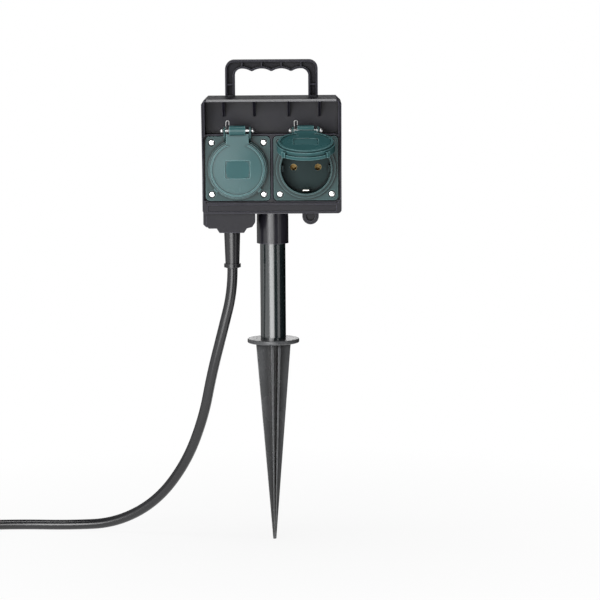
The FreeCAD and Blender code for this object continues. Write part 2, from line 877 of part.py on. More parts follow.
def handle(body):
    """The carry handle on the tub: an arch with finger hollows under its bar, its front a rimmed channel with ribs."""
    foot, rise = shell_top - clear, size.finger_rise
    back = size.handle_depth - size.handle_thick
    arch = sketch(body, "handle", offset=back)
    half, crown, curve = size.handle_half, shell_top + size.handle_rise, size.handle_corner
    outline(
        arch,
        (-half, foot),
        *corner(-half, crown, curve, 0, 1, 1, 0),
        *corner(half, crown, curve, 1, 0, 0, -1),
        (half, foot),
    )
    pad(body, arch, size.handle_thick)

    grip = sketch(body, "grip_opening", offset=size.handle_depth)
    finger = size.finger_pitch / 2
    hollow = (finger * finger + rise * rise) / (rise * 2)
    under = crown - size.handle_bar_tall
    inner, peak = size.handle_inner_half, under + rise
    outline(grip, (-inner, shell_top), *finger_hollows(inner, peak, hollow, finger), (inner, shell_top))
    opening = pocket(body, grip, size.handle_thick)
    bumps = edges_along(opening, 1, (-finger * 2, under), (0.0, under), (finger * 2, under))
    round_edges(body, opening, bumps, size.finger_bump_radius)

    rim = size.handle_rim
    channel = sketch(body, "handle_channel", offset=size.handle_depth)
    low = shell_top + rim
    outer, outer_top, within = half - rim, crown - rim, inner + rim
    outline(
        channel,
        (outer, low),
        (within, low),
        *finger_hollows(-within, peak + rim, hollow + rim, -finger),
        (-within, low),
        (-outer, low),
        *corner(-outer, outer_top, curve - rim, 0, 1, 1, 0),
        *corner(outer, outer_top, curve - rim, 1, 0, 0, -1),
    )
    pocket(body, channel, size.handle_channel_deep)

    floor = size.handle_depth - size.handle_channel_deep - clear / 2
    ribs = sketch(body, "handle_ribs", offset=floor)
    thin = size.handle_rib / 2
    for x in (-finger * 3, -finger, finger, finger * 3):
        rectangle(ribs, x - thin, x + thin, peak + rim / 2, outer_top + rim / 2)
    middle = (shell_top + under) / 2
    for start, stop in ((-outer - rim / 2, rim / 2 - within), (within - rim / 2, outer + rim / 2)):
        rectangle(ribs, start, stop, middle - thin, middle + thin)
    pad(body, ribs, size.handle_channel_deep)


def finger_hollows(inner, peak, radius, finger):
    """The steps from a leg's inner face along the four finger hollows to the other leg, left to right or back."""
    way = 1 if float(finger) > 0 else -1
    side = inner - finger * 3 if way > 0 else finger * 3 - inner
    dip = peak - radius + root(radius * radius - finger * finger)
    return (
        *corner(-inner, peak, side, 0, 1, way, 0),
        (-finger * 2, dip, *by_finger(-finger * 3, peak, radius, finger / 2), radius),
        (0.0, dip, -finger, peak, radius),
        (finger * 2, dip, finger, peak, radius),
        (finger * 3, peak, *by_finger(finger * 3, peak, radius, -finger / 2), radius),
        bend(inner, peak, side, way, 0, 0, -1),
    )


def by_finger(x, peak, radius, across):
    """A point of a finger hollow's arc, a distance across from its peak."""
    drop = float(radius) - math.sqrt(float(radius) ** 2 - float(across) ** 2)
    return x + across, peak - drop


def flange_screws(side):
    """The four places of a flange's screws."""
    return [
        (socket_x(side) + screw_half * across, socket_height + screw_half * up)
        for up in (-1, 1)
        for across in (-1, 1)
    ]


def clamp_screws():
    """The two places of the cable clamp's screws."""
    middle = clamp_low + size.clamp_tall / 2
    return [(cable_x + size.clamp_screw_half * side, middle) for side in (-1, 1)]


def socket_insert(side):
    """The green moulding of one socket: flange, collar, neck, well with its floor and guides, and the hinge ears."""
    body = new_body(f"{side}_socket_insert")
    place(body, socket_x(side), 0.0, socket_height)
    flange = sketch(body, "flange", offset=flange_back)
    rounded(flange, -flange_half, flange_half, -flange_half, flange_half, size.flange_corner)
    pad(body, flange, size.flange_wall)
    for name, radius, back, front in (
        ("collar", size.collar_radius, flange_front, collar_front),
        ("neck", size.neck_radius, collar_front, neck_front),
        ("barrel", size.barrel_radius, barrel_back, flange_back),
    ):
        ring = sketch(body, name, offset=back)
        circle(ring, radius)
        pad(body, ring, front - back)

    ears = sketch(body, "ears", "YZ_Plane")
    hinge, reach = size.pin_above_socket, size.ear_radius
    outline(
        ears,
        (-flange_back, size.ear_low),
        (-flange_back, flange_half - clear),
        (-flange_front, flange_half - clear),
        (reach - pin_depth, hinge - reach / 2),
        *corner(reach - pin_depth, hinge + reach, reach, 0, 1, -1, 0),
        bend(-pin_depth - reach, hinge + reach, reach, -1, 0, 0, -1),
        (-pin_depth, hinge - reach * 2),
        (-collar_front, size.ear_low),
    )
    pad(body, ears, (size.ear_inner + size.ear_wall) * 2, both_ways=True)
    between = sketch(body, "between_ears", "YZ_Plane")
    before = -pin_depth - reach - clear
    rectangle(between, before, -flange_front, size.ear_low - clear, hinge + reach + clear)
    pocket(body, between, size.ear_inner * 2, both_ways=True)
    for name, radius, back, front in (
        ("collar_again", size.collar_radius, flange_front, collar_front),
        ("neck_again", size.neck_radius, collar_front, neck_front),
    ):
        ring = sketch(body, name, offset=back)
        circle(ring, radius)
        pad(body, ring, front - back)
    well = sketch(body, "well", offset=neck_front)
    circle(well, size.well_radius)
    pocket(body, well, size.well_deep)

    guides = sketch(body, "guides", offset=well_floor)
    for hand in (-1, 1):
        inner, outer = (size.well_radius - size.guide_tall) * hand, (size.well_radius + 0.3) * hand
        rectangle(
            guides, min(inner, outer), max(inner, outer), -size.guide_wide / 2, size.guide_wide / 2
        )
    pad(body, guides, size.well_deep - size.collar_rise)

    contact_holes = sketch(body, "contact_holes", offset=well_floor)
    for hand in (-1, 1):
        circle(contact_holes, size.contact_hole_radius, contact_half * hand, 0.0)
    strap_half, strap_low = size.strap_wide / 2 + size.strap_gap, size.strap_reach - size.strap_wall - size.strap_gap
    strap_high = size.strap_reach + size.strap_gap
    rectangle(contact_holes, -strap_half, strap_half, strap_low, strap_high)
    rectangle(contact_holes, -strap_half, strap_half, -strap_high, -strap_low)
    pocket(body, contact_holes, size.well_floor_wall)

    screw_holes = sketch(body, "screw_holes", offset=flange_front)
    sinks = sketch(body, "screw_sinks", offset=flange_front)
    for up in (-1, 1):
        for across in (-1, 1):
            circle(screw_holes, size.screw_shank_radius + size.pin_gap * 2, screw_half * across, screw_half * up)
            circle(sinks, size.screw_sink_radius, screw_half * across, screw_half * up)
    pocket(body, screw_holes, size.flange_wall)
    pocket(body, sinks, size.screw_sink_deep)

    pin_hole = sketch(body, "pin_hole", "YZ_Plane")
    circle(pin_hole, size.pin_radius + size.pin_gap, -pin_depth, size.pin_above_socket)
    pocket(body, pin_hole, (size.ear_inner + size.ear_wall + clear) * 2, both_ways=True)


def flange_gasket(side):
    body = new_body(f"{side}_flange_gasket")
    place(body, socket_x(side), 0.0, socket_height)
    plate = sketch(body, "plate", offset=size.seat_depth)
    rounded(plate, -flange_half, flange_half, -flange_half, flange_half, size.flange_corner)
    circle(plate, size.barrel_radius + size.panel_hole_gap)
    for up in (-1, 1):
        for across in (-1, 1):
            circle(plate, size.screw_shank_radius + size.pin_gap * 2, screw_half * across, screw_half * up)
    pad(body, plate, size.gasket_wall)


def screw(name, shank, head, head_tall, tip, seat, x, z, facing=1):
    """A pan head screw along Y: its head stands in front of its seat, or behind it where it faces the rear."""
    back, front = (tip, seat) if facing == 1 else (seat, tip)
    stem = rod(name + "_stem", shank, back, front, x, z)
    if facing == 1:
        top = rod(name + "_head", head, seat, seat + head_tall, x, z)
    else:
        top = rod(name + "_head", head, seat - head_tall, seat, x, z)
    return fuse(name, stem, top)


def gathered(label, things):
    """Separate solids of one kind in one node."""
    group = doc.addObject("Part::Compound", label + "_set")
    group.Links = list(things)
    return node(label, group)


def flange_screw_set(side):
    seat = flange_front - size.screw_sink_deep
    screws = [
        screw(
            f"{side}_flange_screw_{index}",
            size.screw_shank_radius,
            size.screw_head_radius,
            size.screw_head_tall,
            size.seat_depth - size.screw_bite,
            seat,
            x,
            z,
        )
        for index, (x, z) in enumerate(flange_screws(side), 1)
    ]
    gathered(f"{side}_flange_screws", screws)


def lid(side, angle):
    """A hinged lid, drawn closed about its pin, then swung open about it."""
    body = new_body(f"{side}_lid")
    middle = -size.pin_above_socket
    plate_front = lid_front - pin_depth
    skirt_back = plate_front - size.lid_skirt_deep
    step, rise = size.lid_step_tall, size.lid_rim_rise
    disc = sketch(body, "skirt", offset=skirt_back)
    circle(disc, size.lid_radius, 0.0, middle)
    pad(body, disc, size.lid_skirt_deep - step)
    face = sketch(body, "face", offset=plate_front - step)
    circle(face, size.lid_face_radius, 0.0, middle)
    pad(body, face, step + rise)
    dish = sketch(body, "dish", offset=plate_front + rise)
    circle(dish, size.lid_face_radius - size.lid_rim_wall, 0.0, middle)
    pocket(body, dish, rise)
    turn = math.radians(SIZES["lid_relief_angle"])
    relief = sketch(body, "hinge_relief", offset=skirt_back)
    ring_sector(relief, middle, size.neck_radius, size.lid_radius + clear, math.pi - turn, math.pi + turn)
    pocket(body, relief, size.lid_skirt_deep - size.lid_plate, reverse=True)

    reach = size.lid_radius - clear
    for name, start, stop, outer, deep in (
        ("lip", -SIZES["lip_angle"], SIZES["lip_angle"], size.lip_radius, size.lip_deep),
        ("left_lug", -SIZES["lip_angle"], -SIZES["lip_lug_angle"], size.lip_lug_radius, size.lip_lug_deep),
        ("right_lug", SIZES["lip_lug_angle"], SIZES["lip_angle"], size.lip_lug_radius, size.lip_lug_deep),
    ):
        sector = sketch(body, name, offset=skirt_back)
        ring_sector(sector, middle, reach, outer, math.radians(start), math.radians(stop))
        pad(body, sector, deep)

    wide, narrow, drop = size.tab_root_half, size.tab_half, size.tab_root_drop
    inside_rim = middle + size.lid_face_radius - size.lid_rim_wall - clear
    notch = sketch(body, "rim_notch", offset=plate_front + rise)
    rectangle(notch, -wide, wide, inside_rim, -drop)
    pocket(body, notch, rise)
    tab = sketch(body, "tab", offset=plate_front - size.tab_wall)
    rectangle(tab, -wide, wide, inside_rim, -drop)
    pad(body, tab, size.tab_wall)
    knuckle = sketch(body, "knuckle", "YZ_Plane")
    circle(knuckle, size.knuckle_radius)
    pad(body, knuckle, narrow * 2, both_ways=True)

    inside = sketch(body, "inside", offset=skirt_back)
    circle(inside, size.neck_radius + size.lid_wall_gap, 0.0, middle)
    pocket(body, inside, size.lid_skirt_deep - size.lid_plate, reverse=True)
    label = sketch(body, "label_field", offset=plate_front)
    across, tall = size.label_wide / 2, size.label_tall / 2
    rounded(label, -across, across, middle - tall, middle + tall, clear)
    pocket(body, label, size.label_cut)
    pin_hole = sketch(body, "pin_hole", "YZ_Plane")
    circle(pin_hole, size.pin_radius + size.pin_gap)
    pocket(body, pin_hole, (narrow + clear) * 2, both_ways=True)
    leg_hole = sketch(body, "leg_hole", "YZ_Plane", -narrow)
    circle(leg_hole, size.spring_wire / 2 + size.spring_leg_gap, -size.spring_leg_reach, size.spring_leg_rise)
    pocket(body, leg_hole, size.spring_leg_long, reverse=True)
    swing(body, side, angle)


def ring_sector(drawing, middle, inner, outer, start, stop):
    """A sector of a ring about the lid's middle, between two angles from straight down."""

    def spot(radius, angle):
        return radius * math.sin(angle), middle - radius * math.cos(angle)

    half_way = (start + stop) / 2
    outline(
        drawing,
        spot(outer, start),
        (*spot(outer, stop), *spot(outer, half_way), outer),
        spot(inner, stop),
        (*spot(inner, start), *spot(inner, half_way), inner),
    )


def swing(thing, side, angle):
    """Puts a piece that is drawn about its hinge pin in place, opened by an angle."""
    place(thing, socket_x(side), -pin_depth, pin_height, turned(vector(-1, 0, 0), float(angle)))
    if isinstance(angle, Size):
        thing.setExpression("Placement.Rotation.Angle", angle.text)


def lid_seal(side, angle):
    """The rubber ring under the lid that closes on the neck's rim."""
    back = neck_front + size.seal_gap - pin_depth
    front = back + size.seal_wall
    outer = primitive(
        "Cylinder",
        f"{side}_seal_outer",
        0.0,
        -back,
        -size.pin_above_socket,
        FORWARD,
        Radius=size.neck_radius,
        Height=front - back,
    )
    inner = primitive(
        "Cylinder",
        f"{side}_seal_inner",
        0.0,
        clear - back,
        -size.pin_above_socket,
        FORWARD,
        Radius=size.neck_radius - size.seal_width,
        Height=front - back + clear * 2,
    )
    ring = cut(f"{side}_seal_cut", outer, inner)
    swing(ring, side, angle)
    node(f"{side}_lid_seal", ring)


def hinge_pin(side):
    """The steel pin with a ball formed on each end outside the ears."""
    ear_outer = size.ear_inner + size.ear_wall
    ball = size.pin_ball_radius
    reach = ear_outer + size.pin_gap + math.sqrt(SIZES["pin_ball_radius"] ** 2 - SIZES["pin_radius"] ** 2)
    shaft = primitive(
        "Cylinder",
        f"{side}_pin_shaft",
        socket_x(side) - reach,
        -pin_depth,
        pin_height,
        SIDEWAYS,
        Radius=size.pin_radius,
        Height=reach * 2,
    )
    balls = [
        primitive(
            "Sphere",
            f"{side}_pin_ball_{end}",
            socket_x(side) + reach * hand,
            -pin_depth,
            pin_height,
            Radius=ball,
        )
        for end, hand in (("left", -1), ("right", 1))
    ]
    node(f"{side}_hinge_pin", fuse(f"{side}_pin", shaft, *balls))


def arc_edge(start, tangent, end):
    """The arc that leaves start along a tangent and ends at end."""
    chord = end - start
    along = vector(chord).normalize()
    side = tangent - along * tangent.dot(along)
    if side.Length < 0.000001:
        return Part.LineSegment(start, end).toShape()
    bend = tangent.getAngle(chord)
    middle = (start + end) / 2 + side.normalize() * (chord.Length / 2 * math.tan(bend / 2))
    return Part.Arc(start, middle, end).toShape()


def biarc(start, start_way, end, end_way):
    """Two arcs that join two points along their tangents and meet smoothly."""
    gap = end - start
    both = start_way + end_way
    a = 2 * (start_way.dot(end_way) - 1)
    b = -2 * gap.dot(both)
    c = gap.dot(gap)
    if abs(a) < 0.000001:
        reach = -c / b
    else:
        reach = (-b - math.sqrt(b * b - 4 * a * c)) / (2 * a)
    joint = (start + start_way * reach + end - end_way * reach) / 2
    way = (end - end_way * reach - start - start_way * reach).normalize()
    return [arc_edge(start, start_way, joint), arc_edge(joint, way, end)]


def rounded_route(points, share=0.45):
    """Straight runs between points joined by arcs as large as the shorter run beside each point allows."""
    edges, radii = [], []
    here = points[0]
    for before, point, after in zip(points, points[1:], points[2:]):
        back, ahead = before - point, after - point
        half_turn = (math.pi - back.getAngle(ahead)) / 2
        reach = share * min(back.Length, ahead.Length)
        radii.append(reach / math.tan(half_turn))
        start = point + back.normalize() * reach
        end = point + ahead.normalize() * reach
        edges.append(Part.LineSegment(here, start).toShape())
        edges.append(arc_edge(start, (point - start).normalize(), end))
        here = end
    edges.append(Part.LineSegment(here, points[-1]).toShape())
    return edges, radii


def tube_along(edges, radius):
    """A solid round tube along smoothly joined edges."""
    path = Part.Wire(Part.__sortEdges__(edges))
    start = edges[0].valueAt(edges[0].FirstParameter)
    way = edges[0].tangentAt(edges[0].FirstParameter)
    ring = Part.Wire([Part.Circle(start, way, radius).toShape()])
    shell = path.makePipeShell([ring], True, False)
    if shell.ShapeType != "Solid":
        shell = Part.makeSolid(shell)
    return shell, path.Length


def shaped(label, shape):
    """A sub-part whose shape is worked out in code."""
    thing = doc.addObject("Part::Feature", label)
    thing.Shape = shape
    return node(label, thing)


def least_gap(edges, diameter, apart):
    """The least distance between parts of a path that lie further than a length apart along it, less a diameter."""
    points = []
    for edge in edges:
        count = max(2, int(edge.Length / diameter * 2))
        points += edge.discretize(Number=count)[:-1]
    lengths = [0.0]
    for a, b in zip(points, points[1:]):
        lengths.append(lengths[-1] + (b - a).Length)
    least = min(
        (points[i] - points[j]).Length
        for i in range(len(points))
        for j in range(i + 1, len(points))
        if lengths[j] - lengths[i] > apart
    )
    return least - diameter


def lid_spring(side, angle):
    """The lid's steel spring: a hairpin loop, a coil on the pin and a leg behind the lid's tab, in one wire."""
    wire = SIZES["spring_wire"] / 2
    ring = SIZES["pin_radius"] + SIZES["spring_pin_gap"] + wire
    outer_x = -(SIZES["ear_inner"] - SIZES["spring_side_gap"] - wire)
    inner_x = -(SIZES["tab_half"] + SIZES["spring_side_gap"] + wire)
    opened = math.radians(float(angle))

    def at(x, depth, rise):
        return vector(x, -depth, rise)

    def on_coil(x, around):
        return at(x, ring * math.cos(around), ring * math.sin(around))

    reach, rise = SIZES["spring_leg_reach"], SIZES["spring_leg_rise"]
    distance = math.hypot(reach, rise)
    leave = math.atan2(rise, reach) - math.acos(ring / distance) + opened
    corner_way = math.atan2(rise, reach) + opened
    start, stop = math.pi, 4 * math.pi + leave
    turns = (stop - start) / (2 * math.pi)
    count = math.ceil(turns * 4)
    climb = inner_x - outer_x
    steepness = climb / (turns * 2 * math.pi * ring)

    def coil_way(around):
        way = at(steepness, -math.sin(around), math.cos(around))
        return way.normalize()

    edges = []
    loop_top = SIZES["spring_loop_above_pin"]
    bow = SIZES["spring_loop_radius"]
    foot = at(outer_x + bow * 2, -ring, loop_top - SIZES["spring_loop_drop"])
    near, far = at(outer_x + bow * 2, -ring, loop_top), at(outer_x, -ring, loop_top)
    edges.append(Part.LineSegment(foot, near).toShape())
    edges.append(Part.Arc(near, at(outer_x + bow, -ring, loop_top + bow), far).toShape())
    low = on_coil(outer_x, start) + at(0, 0, ring)
    edges.append(Part.LineSegment(far, low).toShape())
    points = [(low, at(0, 0, -1))]
    for i in range(count + 1):
        around = start + (stop - start) * i / count
        x = outer_x + climb * i / count
        points.append((on_coil(x, around), coil_way(around)))
    corner_point = at(inner_x, distance * math.cos(corner_way), distance * math.sin(corner_way))
    last, _ = points[-1]
    straight = (corner_point - last).normalize()
    points[-1] = (last, straight)
    bend = SIZES["spring_bend_radius"]
    before = corner_point - straight * bend
    for (a, way_a), (b, way_b) in zip(points, points[1:]):
        edges += biarc(a, way_a, b, way_b)
    edges.append(Part.LineSegment(last, before).toShape())
    turn_end = corner_point + at(bend, 0, 0)
    edges.append(arc_edge(before, straight, turn_end))
    edges.append(Part.LineSegment(turn_end, corner_point + at(SIZES["spring_leg_long"], 0, 0)).toShape())
    solid, _ = tube_along(edges, wire)
    thing = shaped(f"{side}_lid_spring", solid)
    swing(thing, side, 0.0)
    print(side, "spring gap", round(least_gap(edges, wire * 2, 4.0), 2))


def contact_carrier(side):
    """The inner moulding behind the well's floor that holds the contacts and the earth bracket."""
    x, z = socket_x(side), socket_height
    drum = rod(f"{side}_carrier_drum", size.carrier_radius, carrier_back, barrel_back, x, z)
    tools = [
        rod(
            f"{side}_carrier_way_{index}",
            size.sleeve_radius + size.sleeve_gap,
            carrier_back - clear,
            barrel_back + clear,
            x + contact_half * hand,
            z,
        )
        for index, hand in enumerate((-1, 1), 1)
    ]
    half = size.strap_wide / 2 + size.strap_gap
    inner = size.strap_reach - size.strap_wall - size.strap_gap
    outer = size.carrier_radius + clear
    for name, low, high in (("low", -outer, -inner), ("high", inner, outer)):
        tools.append(
            box(
                f"{side}_carrier_slot_{name}",
                x - half,
                x + half,
                carrier_back - clear,
                barrel_back + clear,
                z + low,
                z + high,
            )
        )
    node(f"{side}_contact_carrier", cut(f"{side}_carrier", drum, *tools))


def contact(side, name, hand):
    """A brass contact: a sleeve for the plug's pin, slit along its length, and a terminal block behind."""
    x, z = socket_x(side) + contact_half * hand, socket_height
    front = barrel_back - size.sleeve_gap
    sleeve = rod(f"{side}_{name}_sleeve", size.sleeve_radius, terminal_front - clear, front, x, z)
    block = terminal_block(f"{side}_{name}", x)
    bore = rod(f"{side}_{name}_bore", size.sleeve_bore_radius, sleeve_floor, front + clear, x, z)
    slit = box(
        f"{side}_{name}_slit",
        x - size.strap_gap,
        x + size.strap_gap,
        sleeve_floor + clear,
        front + clear,
        z - size.sleeve_radius - clear,
        z + size.sleeve_radius + clear,
    )
    hole = terminal_hole(f"{side}_{name}", x)
    return cut(f"{side}_{name}", fuse(f"{side}_{name}_body", sleeve, block), bore, slit, hole)


def terminal_block(name, x):
    z, half, tall = socket_height, size.terminal_wide / 2, size.terminal_tall / 2
    return box(name + "_block", x - half, x + half, terminal_back, terminal_front, z - tall, z + tall)


def terminal_hole(name, x):
    return rod(
        name + "_screw_hole",
        size.terminal_screw_radius + size.screw_gap,
        terminal_back - clear,
        terminal_front - size.terminal_long / 3,
        x,
        socket_height,
    )


def contact_pair(side):
    gathered(f"{side}_contacts", [contact(side, "contact_a", -1), contact(side, "contact_b", 1)])


def earth_bracket(side):
    """The earth strap: across the carrier's back, through its slots and into the well as two bowed clips."""
    body = new_body(f"{side}_earth_bracket")
    place(body, socket_x(side), 0.0, socket_height)
    strap = sketch(body, "strap", "YZ_Plane")
    wall, reach, tip = size.strap_wall, size.strap_reach, well_floor + size.clip_long
    behind = size.strap_gap - carrier_back
    bow, bend = size.clip_bow, well_floor + size.clip_long / 2
    low = reach - wall
    polygon(
        strap,
        (behind + wall, -reach),
        (behind + wall, reach),
        (-well_floor, reach),
        (-bend, reach - bow),
        (-tip, reach - wall / 2),
        (-tip, low - wall / 2),
        (-bend, low - bow),
        (-well_floor, low),
        (behind, low),
        (behind, -low),
        (-well_floor, -low),
        (-bend, bow - low),
        (-tip, wall / 2 - low),
        (-tip, wall / 2 - reach),
        (-bend, bow - reach),
        (-well_floor, -reach),
    )
    pad(body, strap, size.strap_wide, both_ways=True)
    block = sketch(body, "terminal", "YZ_Plane")
    tall = size.terminal_tall / 2
    rectangle(block, behind, -terminal_back, -tall, tall)
    pad(body, block, size.terminal_wide, both_ways=True)
    hole = sketch(body, "screw_hole", offset=terminal_back)
    circle(hole, size.terminal_screw_radius + size.screw_gap)
    pocket(body, hole, size.terminal_long * 2 / 3, reverse=True)


def terminal_screw_set(side):
    screws = [
        screw(
            f"{side}_terminal_screw_{index}",
            size.terminal_screw_radius,
            size.terminal_head_radius,
            size.terminal_head_tall,
            terminal_back + size.terminal_long / 2,
            terminal_back,
            socket_x(side) + contact_half * hand,
            socket_height,
            facing=-1,
        )
        for index, hand in enumerate((-1, 0, 1), 1)
    ]
    gathered(f"{side}_terminal_screws", screws)


def ground_tube():
    """The tube between the housing's sleeve and the spike's disc."""
    outer = post("tube_outer", size.tube_radius, size.disc_top, tube_top)
    inner = post("tube_inner", tube_inner, size.disc_top - clear, tube_top + clear)
    hole = rod(
        "tube_screw_way",
        size.tube_screw_radius + size.screw_gap,
        -size.tube_radius - clear,
        0.0,
        0.0,
        tube_screw_height,
    )
    node("ground_tube", cut("tube", outer, inner, hole))


def blade_outline(drawing, wing, wing_wall, rib, rib_wall, rib_reach):
    """The blade's cross section: a flat wing each way and a pair of ribs to the front and to the rear."""
    near, far, thin = rib - rib_wall / 2, rib + rib_wall / 2, wing_wall / 2
    quarter = ((wing, thin), (far, thin), (far, rib_reach), (near, rib_reach), (near, thin))
    back_right = list(quarter)
    back_left = [(-x, y) for x, y in reversed(quarter)]
    front_left = [(-x, -y) for x, y in quarter]
    front_right = [(x, -y) for x, y in reversed(quarter)]
    polygon(drawing, *back_right, *back_left, *front_left, *front_right)


def ground_spike():
    """The moulded spike: a ribbed blade that tapers to its point, a disc to press it in by, and a spigot."""
    body = new_body("ground_spike")
    tip = sketch(body, "blade_tip", "XY_Plane")
    blade_outline(
        tip, size.wing_tip_half, size.wing_tip_wall, size.rib_tip_offset, size.rib_tip_wall, size.rib_tip_half
    )
    top = sketch(body, "blade_top", "XY_Plane", size.disc_top - size.disc_wall)
    blade_outline(top, size.wing_half, size.wing_wall, size.rib_offset, size.rib_wall, size.rib_half)
    blade = body.newObject("PartDesign::AdditiveLoft", "ground_spike_blade")
    blade.Profile = tip
    blade.Sections = [top]
    blade.Ruled = True
    body.Tip = blade
    disc = sketch(body, "disc", "XY_Plane", size.disc_top - size.disc_wall)
    circle(disc, size.disc_radius)
    plate = pad(body, disc, size.disc_wall)
    doc.recompute()
    rims = [
        f"Edge{i}"
        for i, edge in enumerate(plate.Shape.Edges, 1)
        if abs(edge.Length - 2 * math.pi * float(size.disc_radius)) < 0.01
    ]
    round_edges(body, plate, rims, size.disc_edge_radius)
    spigot = sketch(body, "spigot", "XY_Plane", size.disc_top)
    circle(spigot, tube_inner - size.tube_gap)
    pad(body, spigot, size.spigot_long)
    body.Placement = FreeCAD.Placement(vector(), turned(vector(0, 0, 1), float(size.spike_turn)))
    body.setExpression("Placement.Rotation.Angle", size.spike_turn.text)


def strain_relief():
    """The rubber bend protection: a head held between the shells, a tapered sleeve and an end collar."""
    x, y = cable_x, cable_y
    collar_top = relief_low + size.relief_groove + size.relief_collar_tall
    head = post("relief_head", size.relief_head_radius, relief_head_low, relief_head_top, x, y)
    neck = post("relief_neck", size.relief_radius, entry_boss_low - clear, relief_head_low + clear, x, y)
    taper = primitive(
        "Cone",
        "relief_taper",
        x,
        y,
        relief_low,
        Radius1=size.relief_tip_radius,
        Radius2=size.relief_radius,
        Height=entry_boss_low - clear - relief_low,
    )
    collar = post(
        "relief_collar", size.relief_collar_radius, relief_low + size.relief_groove, collar_top, x, y
    )
    bore = post(
        "relief_bore",
        size.cord_radius + size.tube_gap,
        relief_low - clear,
        relief_head_top + clear,
        x,
        y,
    )
    node("strain_relief", cut("relief", fuse("relief_body", head, neck, taper, collar), bore))


def cable_inside():
    """The cable's end inside the bend protection and under the clamp."""
    node("cable_end", post("cable_inner", size.cord_radius, relief_low, cable_end, cable_x, cable_y))


def cable_clamp():
    """The bar that holds the cable against its saddle, with its two screws."""
    low, high = clamp_low, clamp_low + size.clamp_tall
    bar = box(
        "clamp_bar",
        cable_x - size.clamp_half,
        cable_x + size.clamp_half,
        clamp_back,
        clamp_front,
        low,
        high,
    )
    ways = [
        rod(
            f"clamp_way_{index}",
            size.terminal_screw_radius + size.pin_gap,
            clamp_back - clear,
            clamp_front + clear,
            x,
            z,
        )
        for index, (x, z) in enumerate(clamp_screws(), 1)
    ]
    node("cable_clamp", cut("clamp", bar, *ways))
    screws = [
        screw(
            f"clamp_screw_{index}",
            size.terminal_screw_radius,
            size.terminal_head_radius,
            size.terminal_head_tall,
            size.parting_depth + size.clamp_wall,
            clamp_back,
            x,
            z,
            facing=-1,
        )
        for index, (x, z) in enumerate(clamp_screws(), 1)
    ]
    gathered("clamp_screws", screws)


def housing_fixings():
    seat = size.screw_well_deep - size.rear_reach
    screws = [
        screw(
            f"housing_screw_{index}",
            size.housing_screw_radius,
            size.housing_head_radius,
            size.housing_head_tall,
            size.recess_depth - clear * 2,
            seat,
            x,
            z,
            facing=-1,
        )
        for index, (x, z) in enumerate(housing_posts(), 1)
    ]
    gathered("housing_screws", screws)
    node(
        "tube_screw",
        screw(
            "tube_fixing",
            size.tube_screw_radius,
            size.tube_screw_head_radius,
            size.tube_screw_head_tall,
            -tube_inner + clear * 2,
            -sleeve_outer - size.screw_gap,
            0.0,
            tube_screw_height,
            facing=-1,
        ),
    )


def wiring():
    """Three insulated cores from the cable to the left socket's terminals and on to the right socket's."""
    radius, storey = SIZES["wire_radius"], SIZES["wire_bridge_rise"]
    pitch = radius * 2 + SIZES["wire_gap"]
    left, right = float(socket_x("left")), float(socket_x("right"))
    bottom = float(socket_height) - SIZES["terminal_tall"] / 2
    top = bottom + SIZES["terminal_tall"]
    level = float(cable_end) + SIZES["wire_rise"]
    nearest = float(-terminal_front) + radius + SIZES["wire_inset"]
    for name, hand, storeys in (("live_wires", -1, 2), ("earth_wires", 0, 3), ("neutral_wires", 1, 1)):
        start = vector(float(cable_x) + pitch * hand, float(cable_y), float(cable_end))
        offset = float(contact_half) * hand
        y = nearest + pitch * (hand + 1)
        bridge = top + storey * storeys
        core = [
            start,
            vector(start.x, start.y, level),
            vector(left + offset, y, level),
            vector(left + offset, y, bottom),
        ]
        link = [
            vector(left + offset, y, top),
            vector(left + offset, y, bridge),
            vector(right + offset, y, bridge),
            vector(right + offset, y, top),
        ]
        solids = []
        for points in (core, link):
            edges, _ = rounded_route(points)
            solid, _ = tube_along(edges, radius)
            solids.append(solid)
        shaped(name, Part.makeCompound(solids))


# The cord's route outside, from the bend protection down to the ground and on to the coil

CORD_ROUTE = [
    (-31.3, -13.0, 200.0),
    (-39.4, -9.8, 168.0),
    (-48.5, -4.2, 133.0),
    (-55.5, 3.0, 97.0),
    (-70.0, 12.0, 59.0),
    (-94.5, 21.5, 26.0),
    (-128.0, 31.0, 7.0),
    (-165.0, 38.5, 4.0),
    (-203.0, 42.5, 4.0),
    (-238.0, 40.0, 4.0),
    (-268.0, 40.0, 4.0),
]
COIL_TURNS = 3
COIL_START_RADIUS = 50.5
COIL_STEP = 8.6
COIL_SHORTEST_WAY = 60.0
TAIL_ROUTE = [
    (-302.0, 40.0, 12.6),
    (-324.0, 34.5, 18.5),
    (-341.0, 27.0, 18.5),
]


def supply_cord():
    """The free stretch of the cord."""
    start = vector(float(cable_x), float(cable_y), float(relief_low))
    points = [start] + [vector(*p) for p in CORD_ROUTE]
    edges, radii = rounded_route(points)
    radius = SIZES["cord_radius"]
    solid, length = tube_along(edges, radius)
    print("cord bend radii", [round(r) for r in radii], "length", round(length, 1))
    print("cord volume ratio", round(solid.Volume / (math.pi * radius**2 * length), 4))
    shaped("supply_cord", solid)


